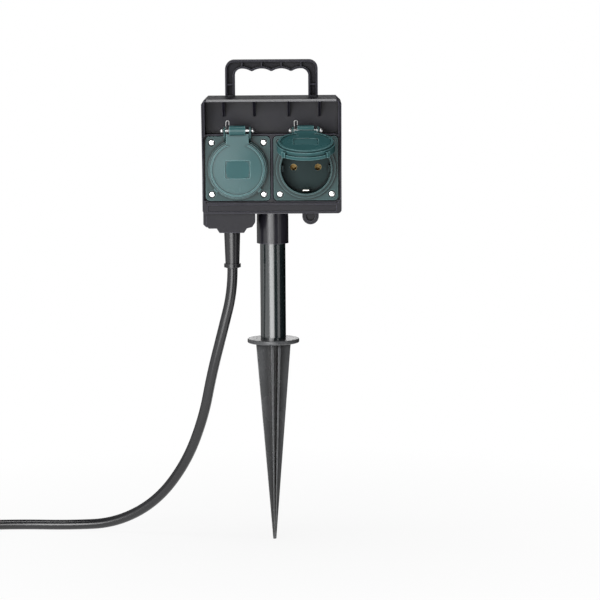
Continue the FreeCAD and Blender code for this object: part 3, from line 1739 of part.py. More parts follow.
def cord_coil():
    """The put-away length: a coil that spirals in, climbs a layer and spirals out again, in one tube."""
    radius = SIZES["cord_radius"]
    last = vector(*CORD_ROUTE[-1])
    lead = 2 * radius
    centre = last + vector(-lead, -COIL_START_RADIUS, 0)
    middle = COIL_TURNS / 2

    def spot(turn):
        ring = COIL_START_RADIUS - COIL_STEP * (middle - abs(turn - middle))
        climb = min(max((turn - middle + 0.25) / 0.5, 0.0), 1.0)
        around = math.pi / 2 + 2 * math.pi * turn
        return centre + vector(ring * math.cos(around), ring * math.sin(around), COIL_STEP * climb)

    def way(turn):
        step = 0.0005
        low, high = max(turn - step, 0.0), min(turn + step, COIL_TURNS)
        return (spot(high) - spot(low)).normalize()

    edges = [Part.LineSegment(last, last + vector(-lead, 0, 0)).toShape()]
    count = COIL_TURNS * 4
    stops = [COIL_TURNS * i / count for i in range(count + 1)]
    ways = [way(turn) for turn in stops]
    ways[0] = ways[-1] = vector(-1, 0, 0)
    for turn, here in zip(stops[1:-1], range(1, count)):
        flat = vector(ways[here])
        if abs(turn - middle) >= 0.25:
            flat.z = 0
        ways[here] = flat.normalize()
    for i in range(count):
        edges += biarc(spot(stops[i]), ways[i], spot(stops[i + 1]), ways[i + 1])
    end = spot(COIL_TURNS)
    edges.append(Part.LineSegment(end, end + vector(-lead, 0, 0)).toShape())
    solid, length = tube_along(edges, radius)
    print("coil length", round(length, 1), "gap", round(least_gap(edges, lead, COIL_SHORTEST_WAY), 2))
    print("coil volume ratio", round(solid.Volume / (math.pi * radius**2 * length), 4))
    shaped("cord_coil", solid)
    return end + vector(-lead, 0, 0)


def cord_tail(start):
    """The short end between the coil and the plug."""
    points = [start] + [vector(*p) for p in TAIL_ROUTE]
    edges, radii = rounded_route(points)
    solid, length = tube_along(edges, SIZES["cord_radius"])
    print("tail bend radii", [round(r) for r in radii], "length", round(length, 1))
    shaped("cord_tail", solid)
    way = points[-1] - points[-2]
    return points[-1], math.degrees(math.atan2(way.y, way.x))


def plug(start, heading):
    """The plug on the cord's end, lying on the ground: drawn along X, then turned the way the cord leads."""
    long, face = size.plug_long, size.plug_face_long
    body_front = size.plug_neck_long + long
    turn = turned(vector(0, 0, 1), heading)

    def lay(thing, label):
        thing.Placement = FreeCAD.Placement(vector(start.x, start.y, SIZES["plug_radius"]), turn)
        node(label, thing)

    def along(name, radius, begin, end, y=0.0):
        return primitive("Cylinder", name, begin, y, 0.0, SIDEWAYS, Radius=radius, Height=end - begin)

    neck = primitive(
        "Cone",
        "plug_neck",
        turn=SIDEWAYS,
        Radius1=size.plug_neck_tip_radius,
        Radius2=size.plug_neck_radius,
        Height=size.plug_neck_long,
    )
    shoulder = primitive(
        "Cone",
        "plug_shoulder",
        size.plug_neck_long,
        turn=SIDEWAYS,
        Radius1=size.plug_neck_radius + clear * 2,
        Radius2=size.plug_body_radius,
        Height=long / 4,
    )
    grip = along("plug_grip", size.plug_body_radius, size.plug_neck_long + long / 4, body_front)
    face_disc = along("plug_face", size.plug_radius, body_front - face, body_front)
    grooves = [
        primitive(
            "Box",
            f"plug_groove_{name}",
            body_front - face - clear,
            (size.plug_radius - size.plug_groove_deep) * hand - (clear * 4 if hand < 0 else clear * 0),
            -size.plug_groove_wide / 2,
            Length=face + clear * 2,
            Width=clear * 4,
            Height=size.plug_groove_wide,
        )
        for name, hand in (("left", -1), ("right", 1))
    ]
    seats = []
    strips = []
    reach = size.plug_radius - size.plug_contact_wall
    for name, hand in (("low", -1), ("high", 1)):
        base = reach * hand if hand > 0 else -size.plug_radius
        for kind, group, extra in (("seat", seats, clear), ("strip", strips, clear * 0)):
            group.append(
                primitive(
                    "Box",
                    f"plug_{kind}_{name}",
                    body_front - size.plug_contact_long,
                    -size.plug_contact_wide / 2,
                    base - (extra if hand < 0 else extra * 0),
                    Length=size.plug_contact_long + extra,
                    Width=size.plug_contact_wide,
                    Height=size.plug_contact_wall + extra,
                )
            )
    body = cut("plug_shell", fuse("plug_blank", neck, shoulder, grip, face_disc), *grooves, *seats)
    lay(body, "plug_body")
    limit = along("plug_contact_limit", size.plug_radius, clear, body_front + clear * 5)
    contacts = common("plug_contacts_cut", fuse("plug_strips", *strips), limit)
    lay(contacts, "plug_earth_contacts")
    pins = []
    for name, hand in (("left", -1), ("right", 1)):
        pin = along(
            f"plug_pin_{name}",
            size.plug_pin_radius,
            body_front,
            body_front + size.plug_pin_long,
            contact_half * hand,
        )
        pins.append(pin)
    group = doc.addObject("Part::Compound", "plug_pin_pair")
    group.Links = pins
    lay(group, "plug_pins")


# Places that the functions above share

lid_front = neck_front + size.seal_gap + size.seal_wall + size.lid_plate
relief_head_top = relief_head_low + size.relief_head_tall
carrier_back = barrel_back - size.carrier_long
sleeve_floor = neck_front - size.well_deep - size.plug_pin_long - clear
terminal_front = sleeve_floor - clear * 2
terminal_back = terminal_front - size.terminal_long
tube_inner = size.tube_radius - size.tube_wall
saddle_depth = size.parting_depth + size.cord_radius
clamp_front = size.parting_depth - size.cord_radius
clamp_back = clamp_front - size.clamp_wall

front_housing()
rain_hood()
housing_gasket()
rear_housing()
for side, angle in (("left", 0.0), ("right", size.right_lid_angle)):
    socket_insert(side)
    flange_gasket(side)
    flange_screw_set(side)
    lid(side, angle)
    lid_seal(side, angle)
    hinge_pin(side)
    lid_spring(side, angle)
    contact_carrier(side)
    contact_pair(side)
    earth_bracket(side)
    terminal_screw_set(side)
ground_tube()
ground_spike()
strain_relief()
cable_inside()
cable_clamp()
housing_fixings()
wiring()
supply_cord()
plug_start, plug_heading = cord_tail(cord_coil())
plug(plug_start, plug_heading)


def finish():
    """Checks every object and writes each sub-part."""
    doc.recompute()
    bad = [thing.Name for thing in doc.Objects if {"Invalid", "Error"} & set(thing.State)]
    for label, thing in NODES.items():
        if thing.Shape.isNull() or not thing.Shape.isValid():
            bad.append(label)
    if bad:
        raise SystemExit("failed: " + ", ".join(bad))
    os.makedirs("parts", exist_ok=True)
    for label, thing in NODES.items():
        thing.Shape.exportStep(f"parts/{label}.step")
    print(len(NODES), "sub-parts written")


finish()
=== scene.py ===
import math

import bpy
from mathutils import Matrix, Vector


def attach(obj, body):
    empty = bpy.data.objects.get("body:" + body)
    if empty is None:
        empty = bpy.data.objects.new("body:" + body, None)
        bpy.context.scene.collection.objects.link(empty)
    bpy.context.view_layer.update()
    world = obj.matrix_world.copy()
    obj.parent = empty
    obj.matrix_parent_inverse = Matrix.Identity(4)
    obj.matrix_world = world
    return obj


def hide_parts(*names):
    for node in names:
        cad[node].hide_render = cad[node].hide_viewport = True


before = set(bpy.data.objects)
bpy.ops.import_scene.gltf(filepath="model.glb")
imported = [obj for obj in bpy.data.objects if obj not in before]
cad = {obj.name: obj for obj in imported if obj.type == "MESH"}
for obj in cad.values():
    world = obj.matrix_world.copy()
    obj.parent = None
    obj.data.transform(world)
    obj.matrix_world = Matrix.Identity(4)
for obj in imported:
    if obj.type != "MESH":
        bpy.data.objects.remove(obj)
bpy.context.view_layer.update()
bpy.ops.object.select_all(action="DESELECT")

# The camera stands 2.2 m in front of the post, a little right of it and above it, and looks slightly down.
# Its place, its long lens and its small roll are fitted to the photo.

camera_spot = Vector((0.0211, -2.2, 0.4653))
camera_target = Vector((0.0211, 0.0, 0.1904))
camera_roll = math.radians(-0.35)
bpy.ops.object.camera_add(location=camera_spot)
camera = bpy.context.object
camera.name = "camera"
aim = (camera_target - camera_spot).to_track_quat("-Z", "Y")
camera.rotation_mode = "QUATERNION"
camera.rotation_quaternion = aim @ Matrix.Rotation(camera_roll, 3, "Z").to_quaternion()
camera.data.sensor_width = 36.0
camera.data.lens = 169.6
camera.data.clip_start = 0.1
camera.data.clip_end = 20.0
bpy.context.scene.camera = camera

# The supply cord is a round rubber cord of 8 mm. It hangs out of the bend protection, sweeps down to the
# ground on the left and ends outside the view in a neat coil and its plug.

cord_radius = 0.004
cord_start = (-0.0313, -0.013, 0.2178)
cord_free = [
    (-0.0313, -0.0130, 0.2000),
    (-0.0394, -0.0098, 0.1680),
    (-0.0485, -0.0042, 0.1330),
    (-0.0555, 0.0030, 0.0970),
    (-0.0700, 0.0120, 0.0590),
    (-0.0945, 0.0215, 0.0260),
    (-0.1280, 0.0310, 0.0070),
    (-0.1650, 0.0385, 0.0040),
    (-0.2030, 0.0425, 0.0040),
    (-0.2380, 0.0400, 0.0040),
    (-0.2680, 0.0400, 0.0040),
]
coil_turns = 3
points_per_turn = 16
coil_radius = 0.0505
coil_step = 0.0086
coil_middle = coil_turns / 2
climb_turns = 0.5
coil_centre = Vector((-0.2760, -0.0105, 0.0040))
cord_points = [cord_start] + cord_free
for i in range(coil_turns * points_per_turn + 1):
    turn = i / points_per_turn
    ring = coil_radius - coil_step * (coil_middle - abs(turn - coil_middle))
    ring /= math.cos(math.pi / points_per_turn)
    climb = min(max((turn - coil_middle) / climb_turns + 0.5, 0.0), 1.0)
    around = math.pi / 2 + 2 * math.pi * turn
    place = Vector((ring * math.cos(around), ring * math.sin(around), coil_step * climb))
    cord_points.append(tuple(coil_centre + place))
cord_points += [
    (-0.2840, 0.0400, 0.0126),
    (-0.3020, 0.0400, 0.0126),
    (-0.3240, 0.0345, 0.0185),
    (-0.3410, 0.0270, 0.0185),
]
cord_line = bpy.data.curves.new("supply_cord_line", "CURVE")
cord_line.dimensions = "3D"
spline = cord_line.splines.new("NURBS")
spline.points.add(len(cord_points) - 1)
for point, spot in zip(spline.points, cord_points):
    point.co = (*spot, 1.0)
    point.radius = cord_radius
spline.order_u = 3
spline.use_endpoint_u = True
spline.resolution_u = 10
cord_line.bevel_depth = 1.0
cord_line.bevel_resolution = 6
cord = bpy.data.objects.new("rubber_cord", cord_line)
bpy.context.scene.collection.objects.link(cord)
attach(cord, "spike")
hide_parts("supply_cord", "cord_coil", "cord_tail")


class Wire:
    """An output in a node tree. Sums, products and comparisons of wires and numbers add their Math nodes,
    | takes the larger and & the smaller."""

    def __init__(self, tree, output=None):
        self.tree = tree
        self.output = output

    def plug(self, node, sockets):
        """Gives a node's sockets their values or links."""
        for name, value in sockets.items():
            if isinstance(value, Wire):
                self.tree.links.new(value.output, node.inputs[name])
            else:
                node.inputs[name].default_value = value

    def node(self, kind, settings, sockets, output=0):
        """Adds a node: its settings first, then its sockets."""
        made = self.tree.nodes.new(f"ShaderNode{kind}")
        for name, value in settings.items():
            setattr(made, name, value)
        self.plug(made, sockets)
        return Wire(self.tree, made.outputs[output])

    def feeding(self, node, name):
        """What a node's socket is linked to."""
        return Wire(self.tree, node.inputs[name].links[0].from_socket)

    def axes(self):
        """The part's own X, Y and Z."""
        place = self.node("TexCoord", {}, {}, "Object")
        return [self.node("SeparateXYZ", {}, {"Vector": place}, axis) for axis in "XYZ"]

    def ray(self, kind):
        """One on a ray of this kind, else zero."""
        return self.node("LightPath", {}, {}, f"Is {kind} Ray")

    def scaled(self, colour, share):
        """A colour times a number."""
        return self.node("VectorMath", {"operation": "SCALE"}, {0: colour, "Scale": share}, "Vector")

    def math(self, operation, *values):
        return self.node("Math", {"operation": operation}, dict(enumerate(values)))

    def __add__(self, other):
        return self.math("ADD", self, other)

    def __sub__(self, other):
        return self.math("SUBTRACT", self, other)

    def __rsub__(self, other):
        return self.math("SUBTRACT", other, self)

    def __mul__(self, other):
        return self.math("MULTIPLY", self, other)

    def __or__(self, other):
        return self.math("MAXIMUM", self, other)

    def __and__(self, other):
        return self.math("MINIMUM", self, other)

    def __lt__(self, other):
        return self.math("LESS_THAN", self, other)

    def __gt__(self, other):
        return self.math("GREATER_THAN", self, other)

    def __abs__(self):
        return self.math("ABSOLUTE", self)

    __radd__ = __add__


mm = 0.001
cloud_scale = 35.0
cloud_swing = 0.15
grain_depth = 0.0001
edge_highlight_gain = 1.6
edge_highlight_white = 0.35
soft_samples = 6


def moulded(
    name, colour, roughness, grain=0.1, grain_size=0.4, spread=0.15, edge=0.4, edge_highlight=0.0, corner_shade_reach=1.6, **gloss
):
    """A moulded plastic or rubber: its colour, the spread of its tone, the grain that the mould gives it, its
    soft edges, the painted highlight along them and how far painted shade reaches out of a corner. Grain
    size, edge and that reach are in mm, and the rest are the shader's own sockets. Metals and lacquer are
    made by it too."""
    material = bpy.data.materials.new(name)
    material.use_nodes = True
    shader = material.node_tree.nodes["Principled BSDF"]
    start = Wire(material.node_tree)
    place = start.node("TexCoord", {}, {}, "Object")
    cloud = start.node("TexNoise", {}, {"Vector": place, "Scale": cloud_scale, "Detail": 4.0}, "Fac")
    tone = 1.0 + (cloud - 0.5) * (spread / cloud_swing)
    paint = start.scaled(colour, tone)
    if edge_highlight:
        near_only = {"only_local": True, "samples": soft_samples}
        core = start.node("AmbientOcclusion", near_only | {"inside": True}, {"Distance": edge * mm}, "AO")
        painted_corner_shade = start.node("AmbientOcclusion", near_only, {"Distance": corner_shade_reach * mm}, "AO")
        # Painted highlight: convex edges are mixed toward a pale colour, standing in for the light that
        # rounded edges catch.
        edge_highlight_mask = ((1.0 - core) * edge_highlight_gain & 1.0) * edge_highlight
        pale = [edge_highlight_white + (1.0 - edge_highlight_white) * part / max(colour) for part in colour]
        paint = start.node("Mix", {"data_type": "RGBA"}, {0: edge_highlight_mask, 6: paint, 7: (*pale, 1.0)}, 2)
        # Painted shade: the colour darkens in corners and creases, where shade falls.
        paint = start.scaled(paint, painted_corner_shade * painted_corner_shade)
    grains = 1.0 / (grain_size * mm)
    speck = start.node("TexNoise", {}, {"Vector": place, "Scale": grains, "Detail": 2.0}, "Fac")
    bump = {"Strength": grain, "Distance": grain_depth, "Height": speck}
    if edge:
        bump["Normal"] = start.node("Bevel", {"samples": soft_samples}, {"Radius": edge * mm}, "Normal")
    sockets = {
        "Base Color": paint,
        "Roughness": tone * roughness,
        "Normal": start.node("Bump", {}, bump, "Normal"),
    }
    start.plug(shader, sockets | {socket.replace("_", " "): value for socket, value in gloss.items()})
    return material


def dress(material, *names):
    """Gives CAD nodes a material."""
    for name in names:
        piece = cad[name]
        piece.data.materials.clear()
        piece.data.materials.append(material)


rubber = moulded(
    "cord_rubber",
    (0.013, 0.013, 0.015),
    roughness=0.22,
    grain=0.2,
    grain_size=0.5,
    edge=0.0,
    Specular_IOR_Level=0.7,
)
cord_line.materials.append(rubber)
dress(rubber, "cable_end")

# The housing is two shells moulded in black plastic with a fine grain, held by four screws from the rear.
# The front one is a single moulding with the canopy over the lids and has a narrow slot beside each socket.
# The rear one carries the handle and the tube's sleeve.

merge_distance = 0.000001
smooth_angle = math.radians(30)


def merged_copy(source, name):
    """A copy of a CAD node with a mesh of its own and its loose triangles merged, alone in the selection."""
    bpy.ops.object.select_all(action="DESELECT")
    piece = bpy.data.objects.new(name, cad[source].data.copy())
    bpy.context.scene.collection.objects.link(piece)
    piece.data.materials.clear()
    piece.select_set(True)
    bpy.context.view_layer.objects.active = piece
    bpy.ops.object.mode_set(mode="EDIT")
    bpy.ops.mesh.select_all(action="SELECT")
    bpy.ops.mesh.remove_doubles(threshold=merge_distance)
    bpy.ops.object.mode_set(mode="OBJECT")
    bpy.ops.mesh.customdata_custom_splitnormals_clear()
    return piece


def block(middle, size, turned=0.0):
    """A box to cut with, alone in the selection. It is turned about Y."""
    bpy.ops.object.select_all(action="DESELECT")
    bpy.ops.mesh.primitive_cube_add(size=1.0, location=middle, rotation=(0.0, turned, 0.0))
    made = bpy.context.object
    made.scale = size
    bpy.ops.object.transform_apply(location=True, rotation=True, scale=True)
    return made


def cut_or_join(piece, other, operation):
    """Applies a boolean with another piece, which goes."""
    change = piece.modifiers.new("change", "BOOLEAN")
    change.operation = operation
    change.object = other
    bpy.context.view_layer.objects.active = piece
    bpy.ops.object.modifier_apply(modifier="change")
    bpy.data.objects.remove(other)


# The housing's pale edges are a painted highlight, and its corners carry painted shade.
black = moulded(
    "black_housing_plastic",
    (0.0105, 0.01, 0.015),
    roughness=0.36,
    grain=0.3,
    grain_size=0.35,
    edge=0.6,
    edge_highlight=0.11,
    corner_shade_reach=2.6,
    Specular_IOR_Level=0.21,
)
hood = merged_copy("rain_hood", "hood_half")
cover = merged_copy("front_housing", "front_cover")
cut_or_join(cover, hood, "UNION")
slot_middle = (0.0516, -0.0277, 0.2961)
slot_size = (0.0017, 0.0127, 0.0496)
for hand in (-1, 1):
    cut_or_join(cover, block((hand * slot_middle[0], *slot_middle[1:]), slot_size), "DIFFERENCE")
cover.data.materials.append(black)
bpy.ops.object.select_all(action="DESELECT")
cover.select_set(True)
bpy.ops.object.shade_smooth_by_angle(angle=smooth_angle)
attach(cover, "spike")
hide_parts("front_housing", "rain_hood")
dress(black, "rear_housing", "cable_clamp")
sleeve_half = 0.0131
sleeve_top = 0.2612
lip_front = -0.0385
lip_low = 0.3475
grip_low = 0.3505
grip_matt = 0.2
start = Wire(black.node_tree)
shader = black.node_tree.nodes["Principled BSDF"]
across, depth, up = start.axes()
sleeve = (abs(across) < sleeve_half) * (up < sleeve_top)
lip = (depth < lip_front) * (up > lip_low)
rough = start.feeding(shader, "Roughness") + (up > grip_low) * grip_matt
start.plug(shader, {"Roughness": rough, "Coat Weight": sleeve | lip, "Coat Roughness": 0.18})

# The two socket inserts are moulded in green plastic: a square flange, a well for the plug and a hinge ear
# at each side of the tab. They sit in the front shell's recess on a gasket. The well is matt, and its colour
# is darkened as painted shade.

# The inserts' pale edges are a painted highlight, and their corners carry painted shade.
green = moulded(
    "green_insert_plastic",
    (0.026, 0.063, 0.064),
    roughness=0.34,
    grain=0.2,
    grain_size=0.35,
    spread=0.06,
    edge_highlight=0.26,
    corner_shade_reach=2.4,
    Specular_IOR_Level=0.25,
)
dress(green, "left_socket_insert", "right_socket_insert")
well_radius = 0.0193
well_front = -0.0375
well_painted_shade = 0.5
well_matt = 0.25
socket_spots = {"left": -0.0262, "right": 0.0262}
socket_height = 0.296
start = Wire(green.node_tree)
shader = green.node_tree.nodes["Principled BSDF"]
across, depth, up = start.axes()
sideways = abs(across) - socket_spots["right"]
upwards = up - socket_height
# Painted shade: the colour inside the well is halved, standing in for the shade deep in it.
well = (sideways * sideways + upwards * upwards < well_radius**2) * (depth > well_front)
paint = start.scaled(start.feeding(shader, "Base Color"), 1.0 - well * well_painted_shade)
start.plug(shader, {"Base Color": paint, "Roughness": start.feeding(shader, "Roughness") + well * well_matt})

# The lids are moulded in the same plastic and polished, with a slightly crowned face. The sunk field in the
# middle of the face is matt. The left one is shut and the right one stands open.

# The lids' pale rims are a painted highlight, and their corners carry painted shade.
lid_green = moulded(
    "green_lid_plastic",
    (0.034, 0.105, 0.11),
    roughness=0.26,
    grain=0.1,
    grain_size=0.35,
    spread=0.05,
    edge=0.5,
    edge_highlight=0.4,
    corner_shade_reach=2.2,
    Specular_IOR_Level=0.32,
)
field_green = moulded(
    "matt_field_plastic",
    (0.036, 0.11, 0.116),
    roughness=0.6,
    grain=0.3,
    grain_size=0.3,
    spread=0.05,
    edge=0.2,
    Specular_IOR_Level=0.25,
)
pin_spots = {"left": (-0.0262, -0.0358, 0.3259), "right": (0.0262, -0.0358, 0.3259)}
lid_angles = {"left": 0.0, "right": 74.0}
lid_middle = -0.0299
lid_crown = 0.0011
crown_reach = 0.025
crown_step = 0.002
crown_steps = 11
facing_front = 0.9
plate_front = -0.001
plate_back = 0.0009
field_half = (0.0095, 0.00675)
field_lowest = -0.00126
field_highest = -0.0021
for side, pin in pin_spots.items():
    hung = Matrix.Translation(pin) @ Matrix.Rotation(math.radians(-lid_angles[side]), 4, "X")
    lid = merged_copy(f"{side}_lid", f"{side}_crowned_lid")
    lid.data.transform(hung.inverted())
    bpy.ops.object.mode_set(mode="EDIT")
    for step in range(-crown_steps, crown_steps + 1):
        across, up = step * crown_step, lid_middle + step * crown_step
        for spot, way in (((across, 0.0, 0.0), (1.0, 0.0, 0.0)), ((0.0, 0.0, up), (0.0, 0.0, 1.0))):
            bpy.ops.mesh.select_all(action="SELECT")
            bpy.ops.mesh.bisect(plane_co=spot, plane_no=way)
    bpy.ops.object.mode_set(mode="OBJECT")
    for vert in lid.data.vertices:
        away = math.hypot(vert.co.x, vert.co.z - lid_middle)
        share = min(max((plate_back - vert.co.y) / (plate_back - plate_front), 0.0), 1.0)
        vert.co.y -= lid_crown * share * max(1.0 - (away / crown_reach) ** 2, 0.0) ** 2
    lid.data.materials.append(lid_green)
    lid.data.materials.append(field_green)
    for face in lid.data.polygons:
        x, y, z = face.center
        inside = abs(x) < field_half[0] and abs(z - lid_middle) < field_half[1]
        if inside and field_highest < y < field_lowest and abs(face.normal.y) > facing_front:
            face.material_index = 1
    lid.data.transform(hung)
    bpy.ops.object.shade_smooth_by_angle(angle=smooth_angle)
    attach(lid, f"{side}_lid")
    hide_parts(f"{side}_lid")

# Eight pan head screws hold the flanges. Each head sits in a round sink in its flange's corner and has a
# cross recess, and its shank goes through the gasket into the housing.

screw_head_radius = 0.0023
screw_head_tall = 0.0007
screw_shank_radius = 0.0014
screw_shank_long = 0.0054
dome_steps = ((0.00018, 0.00014), (0.0004, 0.00014), (0.0006, 0.00012), (0.0006, 0.00006))
recess_size = (0.0034, 0.0014, 0.0007)
recess_middle = (0.0, -0.0012, 0.0)
bpy.ops.object.select_all(action="DESELECT")
bpy.ops.mesh.primitive_circle_add(
    vertices=48, radius=screw_head_radius, fill_type="NGON", rotation=(math.pi / 2, 0.0, 0.0)
)
screw = bpy.context.object
bpy.ops.object.transform_apply(rotation=True)
bpy.ops.object.mode_set(mode="EDIT")
bpy.ops.mesh.select_all(action="SELECT")
bpy.ops.mesh.extrude_region_move(TRANSFORM_OT_translate={"value": (0.0, -screw_head_tall, 0.0)})
for inwards, rise in dome_steps:
    bpy.ops.mesh.inset(thickness=inwards, depth=0.0)
    bpy.ops.transform.translate(value=(0.0, -rise, 0.0))
bpy.ops.mesh.select_all(action="DESELECT")
bpy.ops.object.mode_set(mode="OBJECT")
for face in screw.data.polygons:
    face.select = abs(face.normal.y) > facing_front and abs(face.center.y) < screw_head_tall / 4
bpy.ops.object.mode_set(mode="EDIT")
bpy.ops.mesh.inset(thickness=screw_head_radius - screw_shank_radius, depth=0.0)
bpy.ops.mesh.extrude_region_move(TRANSFORM_OT_translate={"value": (0.0, screw_shank_long, 0.0)})
bpy.ops.mesh.select_all(action="SELECT")
bpy.ops.mesh.normals_make_consistent(inside=False)
bpy.ops.object.mode_set(mode="OBJECT")
for turned in (0.0, math.pi / 2):
    cut_or_join(screw, block(recess_middle, recess_size, turned), "DIFFERENCE")
steel = moulded(
    "bright_steel",
    (0.85, 0.85, 0.85),
    roughness=0.24,
    grain=0.05,
    grain_size=0.3,
    spread=0.05,
    edge=0.15,
    Metallic=1.0,
)
screw.data.materials.append(steel)
screw_seat = -0.0244
screw_half = 0.02
for side, turns in (("left", (20, 75, 48, 10)), ("right", (62, 35, 5, 80))):
    bpy.ops.object.select_all(action="DESELECT")
    corners = [(across, up) for up in (-1, 1) for across in (-1, 1)]
    for (across, up), turn in zip(corners, turns):
        head = bpy.data.objects.new(f"{side}_cross_screws", screw.data.copy())
        bpy.context.scene.collection.objects.link(head)
        spot = (socket_spots[side] + screw_half * across, screw_seat, socket_height + screw_half * up)
        head.data.transform(Matrix.Translation(spot) @ Matrix.Rotation(math.radians(turn), 4, "Y"))
        head.select_set(True)
        bpy.context.view_layer.objects.active = head
    bpy.ops.object.join()
    screws = bpy.context.object
    screws.name = f"{side}_cross_screws"
    bpy.ops.object.shade_smooth_by_angle(angle=smooth_angle)
    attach(screws, "spike")
    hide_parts(f"{side}_flange_screws")
bpy.data.objects.remove(screw)

# The hinge pins are drawn steel wire with a ball upset at each end, and stay in the ears. The screws inside
# and behind are bright steel too.

pin_steel = moulded(
    "pin_steel",
    (0.6, 0.6, 0.6),
    roughness=0.3,
    grain=0.05,
    grain_size=0.3,
    spread=0.05,
    edge=0.15,
    Metallic=1.0,
)
for side in ("left", "right"):
    dress(pin_steel, f"{side}_hinge_pin")
    dress(steel, f"{side}_terminal_screws")
dress(steel, "housing_screws", "tube_screw", "clamp_screws")

# Each lid has a hairpin spring of steel wire, which closes it. Its loop and its coil stay on the pin, and the
# leg behind the tab turns with the lid, so the wire is in two pieces that meet at the coil.

spring_wire = moulded(
    "spring_wire",
    (0.42, 0.42, 0.42),
    roughness=0.34,
    grain=0.05,
    grain_size=0.3,
    spread=0.05,
    edge=0.0,
    Metallic=1.0,
)
leg_middle = (-0.00475, -0.0011, 0.002375)
leg_size = (0.0045, 0.0022, 0.00205)
for side, pin in pin_spots.items():
    hung = Matrix.Translation(pin) @ Matrix.Rotation(math.radians(-lid_angles[side]), 4, "X")
    for part, body, operation in (("coil", "spike", "DIFFERENCE"), ("leg", f"{side}_lid", "INTERSECT")):
        wire = merged_copy(f"{side}_lid_spring", f"{side}_spring_{part}")
        around_leg = block(leg_middle, leg_size)
        around_leg.data.transform(hung)
        cut_or_join(wire, around_leg, operation)
        wire.data.materials.append(spring_wire)
        bpy.ops.object.select_all(action="DESELECT")
        wire.select_set(True)
        bpy.ops.object.shade_smooth_by_angle(angle=smooth_angle)
        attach(wire, body)
        if part == "coil":
            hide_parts(f"{side}_lid_spring")

# The tube is extruded, lacquered glossy black and pressed into the sleeve. The spike is moulded in black
# plastic with ribs along its blade, and its spigot carries the tube.

tube_black = moulded(
    "tube_lacquer",
    (0.008, 0.014, 0.015),
    roughness=0.18,
    grain=0.05,
    grain_size=0.5,
    spread=0.06,
    edge=0.0,
    Specular_IOR_Level=1.0,
    Coat_Weight=1.0,
    Coat_Roughness=0.12,
)
dress(tube_black, "ground_tube")
# The spike's pale rib edges are a painted highlight, and painted shade darkens the hollows by the ribs and
# under the disc.
spike_black = moulded(
    "spike_plastic",
    (0.068, 0.07, 0.073),
    roughness=0.26,
    grain=0.15,
    grain_size=0.4,
    edge=0.35,
    edge_highlight=0.3,
    corner_shade_reach=6.0,
    Specular_IOR_Level=0.5,
)
dress(spike_black, "ground_spike")

# Rubber keeps the water out: the bend protection on the cable, the rings in the lids, the gaskets under the
# flanges and in the seam, and the plug's body.

# Its edges carry a faint painted highlight and its creases painted shade.
relief_rubber = moulded(
    "relief_rubber",
    (0.01, 0.01, 0.012),
    roughness=0.24,
    grain=0.15,
    grain_size=0.4,
    edge=0.3,
    edge_highlight=0.08,
    Specular_IOR_Level=0.7,
)
dress(relief_rubber, "strain_relief", "plug_body")
seal_rubber = moulded("seal_rubber", (0.02, 0.02, 0.021), roughness=0.6, grain=0.3, grain_size=0.4, edge=0.2)
dress(seal_rubber, "left_lid_seal", "right_lid_seal")
# The gaskets' near-black is partly the rubber's own colour and partly painted shade, darkening the gap around
# each flange.
gasket = moulded(
    "gasket_rubber",
    (0.008, 0.008, 0.008),
    roughness=0.9,
    grain=0.3,
    grain_size=0.4,
    edge=0.0,
    Specular_IOR_Level=0.1,
)
dress(gasket, "housing_gasket", "left_flange_gasket", "right_flange_gasket")

# Behind each insert a grey carrier holds two brass sleeves and the nickelled earth bracket, and the wires
# join them to the cable.

carrier = moulded("carrier_plastic", (0.2, 0.2, 0.2), roughness=0.5, grain=0.3, grain_size=0.4)
dress(carrier, "left_contact_carrier", "right_contact_carrier")
# The brass is much darker than bright brass: painted shade for the deep holes the sleeves sit in.
brass = moulded(
    "brass", (0.42, 0.3, 0.13), roughness=0.42, grain=0.05, grain_size=0.3, spread=0.06, Metallic=1.0
)
dress(brass, "left_contacts", "right_contacts")
nickel = moulded(
    "nickel", (0.7, 0.67, 0.62), roughness=0.25, grain=0.05, grain_size=0.3, spread=0.06, Metallic=1.0
)
dress(nickel, "left_earth_bracket", "right_earth_bracket", "plug_pins", "plug_earth_contacts")
for name, colour, wires in (
    ("brown_core", (0.16, 0.06, 0.025), "live_wires"),
    ("blue_core", (0.02, 0.12, 0.5), "neutral_wires"),
    ("green_core", (0.35, 0.45, 0.04), "earth_wires"),
):
    dress(moulded(name, colour, roughness=0.4), wires)

# A plain white floor that keeps the post's soft shadow. It is matt and runs out into the white background
# without a line.

floor_radius = 0.45
floor_spot = (0.0, 0.0, -0.0003)
shadow_depth = 0.12
shadow_share = 1.05
bpy.ops.object.select_all(action="DESELECT")
bpy.ops.mesh.primitive_circle_add(vertices=96, radius=floor_radius, fill_type="NGON", location=floor_spot)
floor = bpy.context.object
floor.name = "floor"
white = bpy.data.materials.new("white_floor")
white.use_nodes = True
start = Wire(white.node_tree)
shader = white.node_tree.nodes["Principled BSDF"]
start.plug(shader, {"Base Color": (0.9, 0.9, 0.9, 1.0), "Roughness": 1.0, "Specular IOR Level": 0.0})
place = start.node("TexCoord", {}, {}, "Object")
away = start.node("VectorMath", {"operation": "LENGTH"}, {0: place}, "Value")
near = 1.0 - (away * (shadow_share / floor_radius) & 1.0)
seen = start.ray("Camera") | start.ray("Transmission") | start.ray("Glossy")
glow = start.node("Emission", {}, {}, "Emission")
lit = Wire(white.node_tree, shader.outputs["BSDF"])
mixed = start.node("MixShader", {}, {0: seen * (1.0 - near * shadow_depth), 1: lit, 2: glow}, "Shader")
start.plug(white.node_tree.nodes["Material Output"], {"Surface": mixed})
floor.data.materials.append(white)

# The studio is white behind the post. In what the post mirrors, its floor and its left side are bright and
# the rest is dim. Its soft lamps stand at the left, at the right, above and behind.

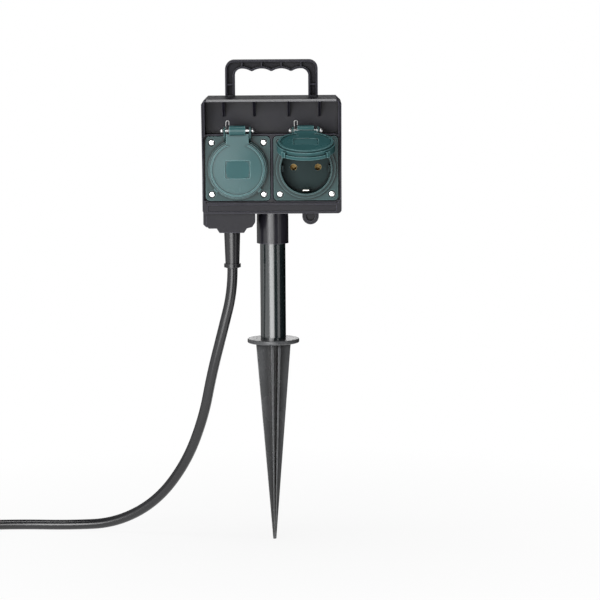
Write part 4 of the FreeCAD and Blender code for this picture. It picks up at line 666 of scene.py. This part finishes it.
world = bpy.data.worlds.new("studio")
bpy.context.scene.world = world
world.use_nodes = True
start = Wire(world.node_tree)
dim = 0.1
left_rise, left_start, left_most = -0.6, 0.12, 0.5
floor_rise, floor_start, floor_most = -3.0, 0.6, 0.7
way = start.node("TexCoord", {}, {}, "Generated")
bright_left = start.node("SeparateXYZ", {}, {"Vector": way}, "X") * left_rise - left_start & left_most
bright_floor = start.node("SeparateXYZ", {}, {"Vector": way}, "Z") * floor_rise - floor_start & floor_most
bright_side = bright_left | bright_floor | 0.0
seen = start.ray("Camera") | start.ray("Transmission")
strength = seen | (dim + start.ray("Glossy") * (bright_side - dim)) * (1.0 - seen)
start.plug(world.node_tree.nodes["Background"], {"Color": (1.0, 1.0, 1.0, 1.0), "Strength": strength})


lamp_distance = 2.5


def soft_lamp(name, spot, turned, wide, tall, level):
    """A rectangular soft lamp, whose level is its brightness and not its power."""
    bpy.ops.object.light_add(type="AREA", location=spot, rotation=turned)
    lamp = bpy.context.object
    lamp.name = name
    lamp.data.shape = "RECTANGLE"
    lamp.data.size = wide
    lamp.data.size_y = tall
    lamp.data.energy = level * math.pi * wide * tall


def softbox(name, left, right, low, high, level):
    """An upright soft lamp that faces the post, between two azimuths in degrees and two heights."""
    turn = math.radians((left + right) / 2)
    spot = Vector((lamp_distance * math.sin(turn), -lamp_distance * math.cos(turn), (low + high) / 2))
    facing = Vector((0.0, 0.0, spot.z)) - spot
    wide = 2 * lamp_distance * math.tan(math.radians((right - left) / 2))
    soft_lamp(name, spot, facing.to_track_quat("-Z", "Y").to_euler(), wide, high - low, level)


softbox("wide_lamp", -61.0, 5.0, 0.05, 1.4, 0.9)
softbox("key_lamp", -39.0, 3.0, 0.05, 1.4, 3.8)
softbox("strip_lamp", -32.0, -14.0, 0.05, 1.4, 3.0)
softbox("right_lamp", 38.0, 46.0, 0.05, 1.4, 2.6)
softbox("low_wide_lamp", -95.0, 13.0, -0.8, 0.0, 0.55)
softbox("low_key_lamp", -34.0, 12.0, -0.8, 0.0, 1.7)
softbox("low_strip_lamp", -26.0, 6.0, -0.8, 0.0, 2.4)
softbox("low_right_lamp", 42.0, 64.0, -0.8, 0.0, 1.0)
softbox("high_back_lamp", 150.0, 210.0, 1.1, 1.9, 1.3)
soft_lamp("top_lamp", (0.0, -0.2, 1.9), (0.0, 0.0, 0.0), 1.6, 0.35, 6.0)
soft_lamp("low_back_lamp", (0.0, 0.6, 0.25), (math.radians(-90.0), 0.0, 0.0), 0.3, 0.1, 2.2)

bpy.context.scene.view_settings.view_transform = "Standard"
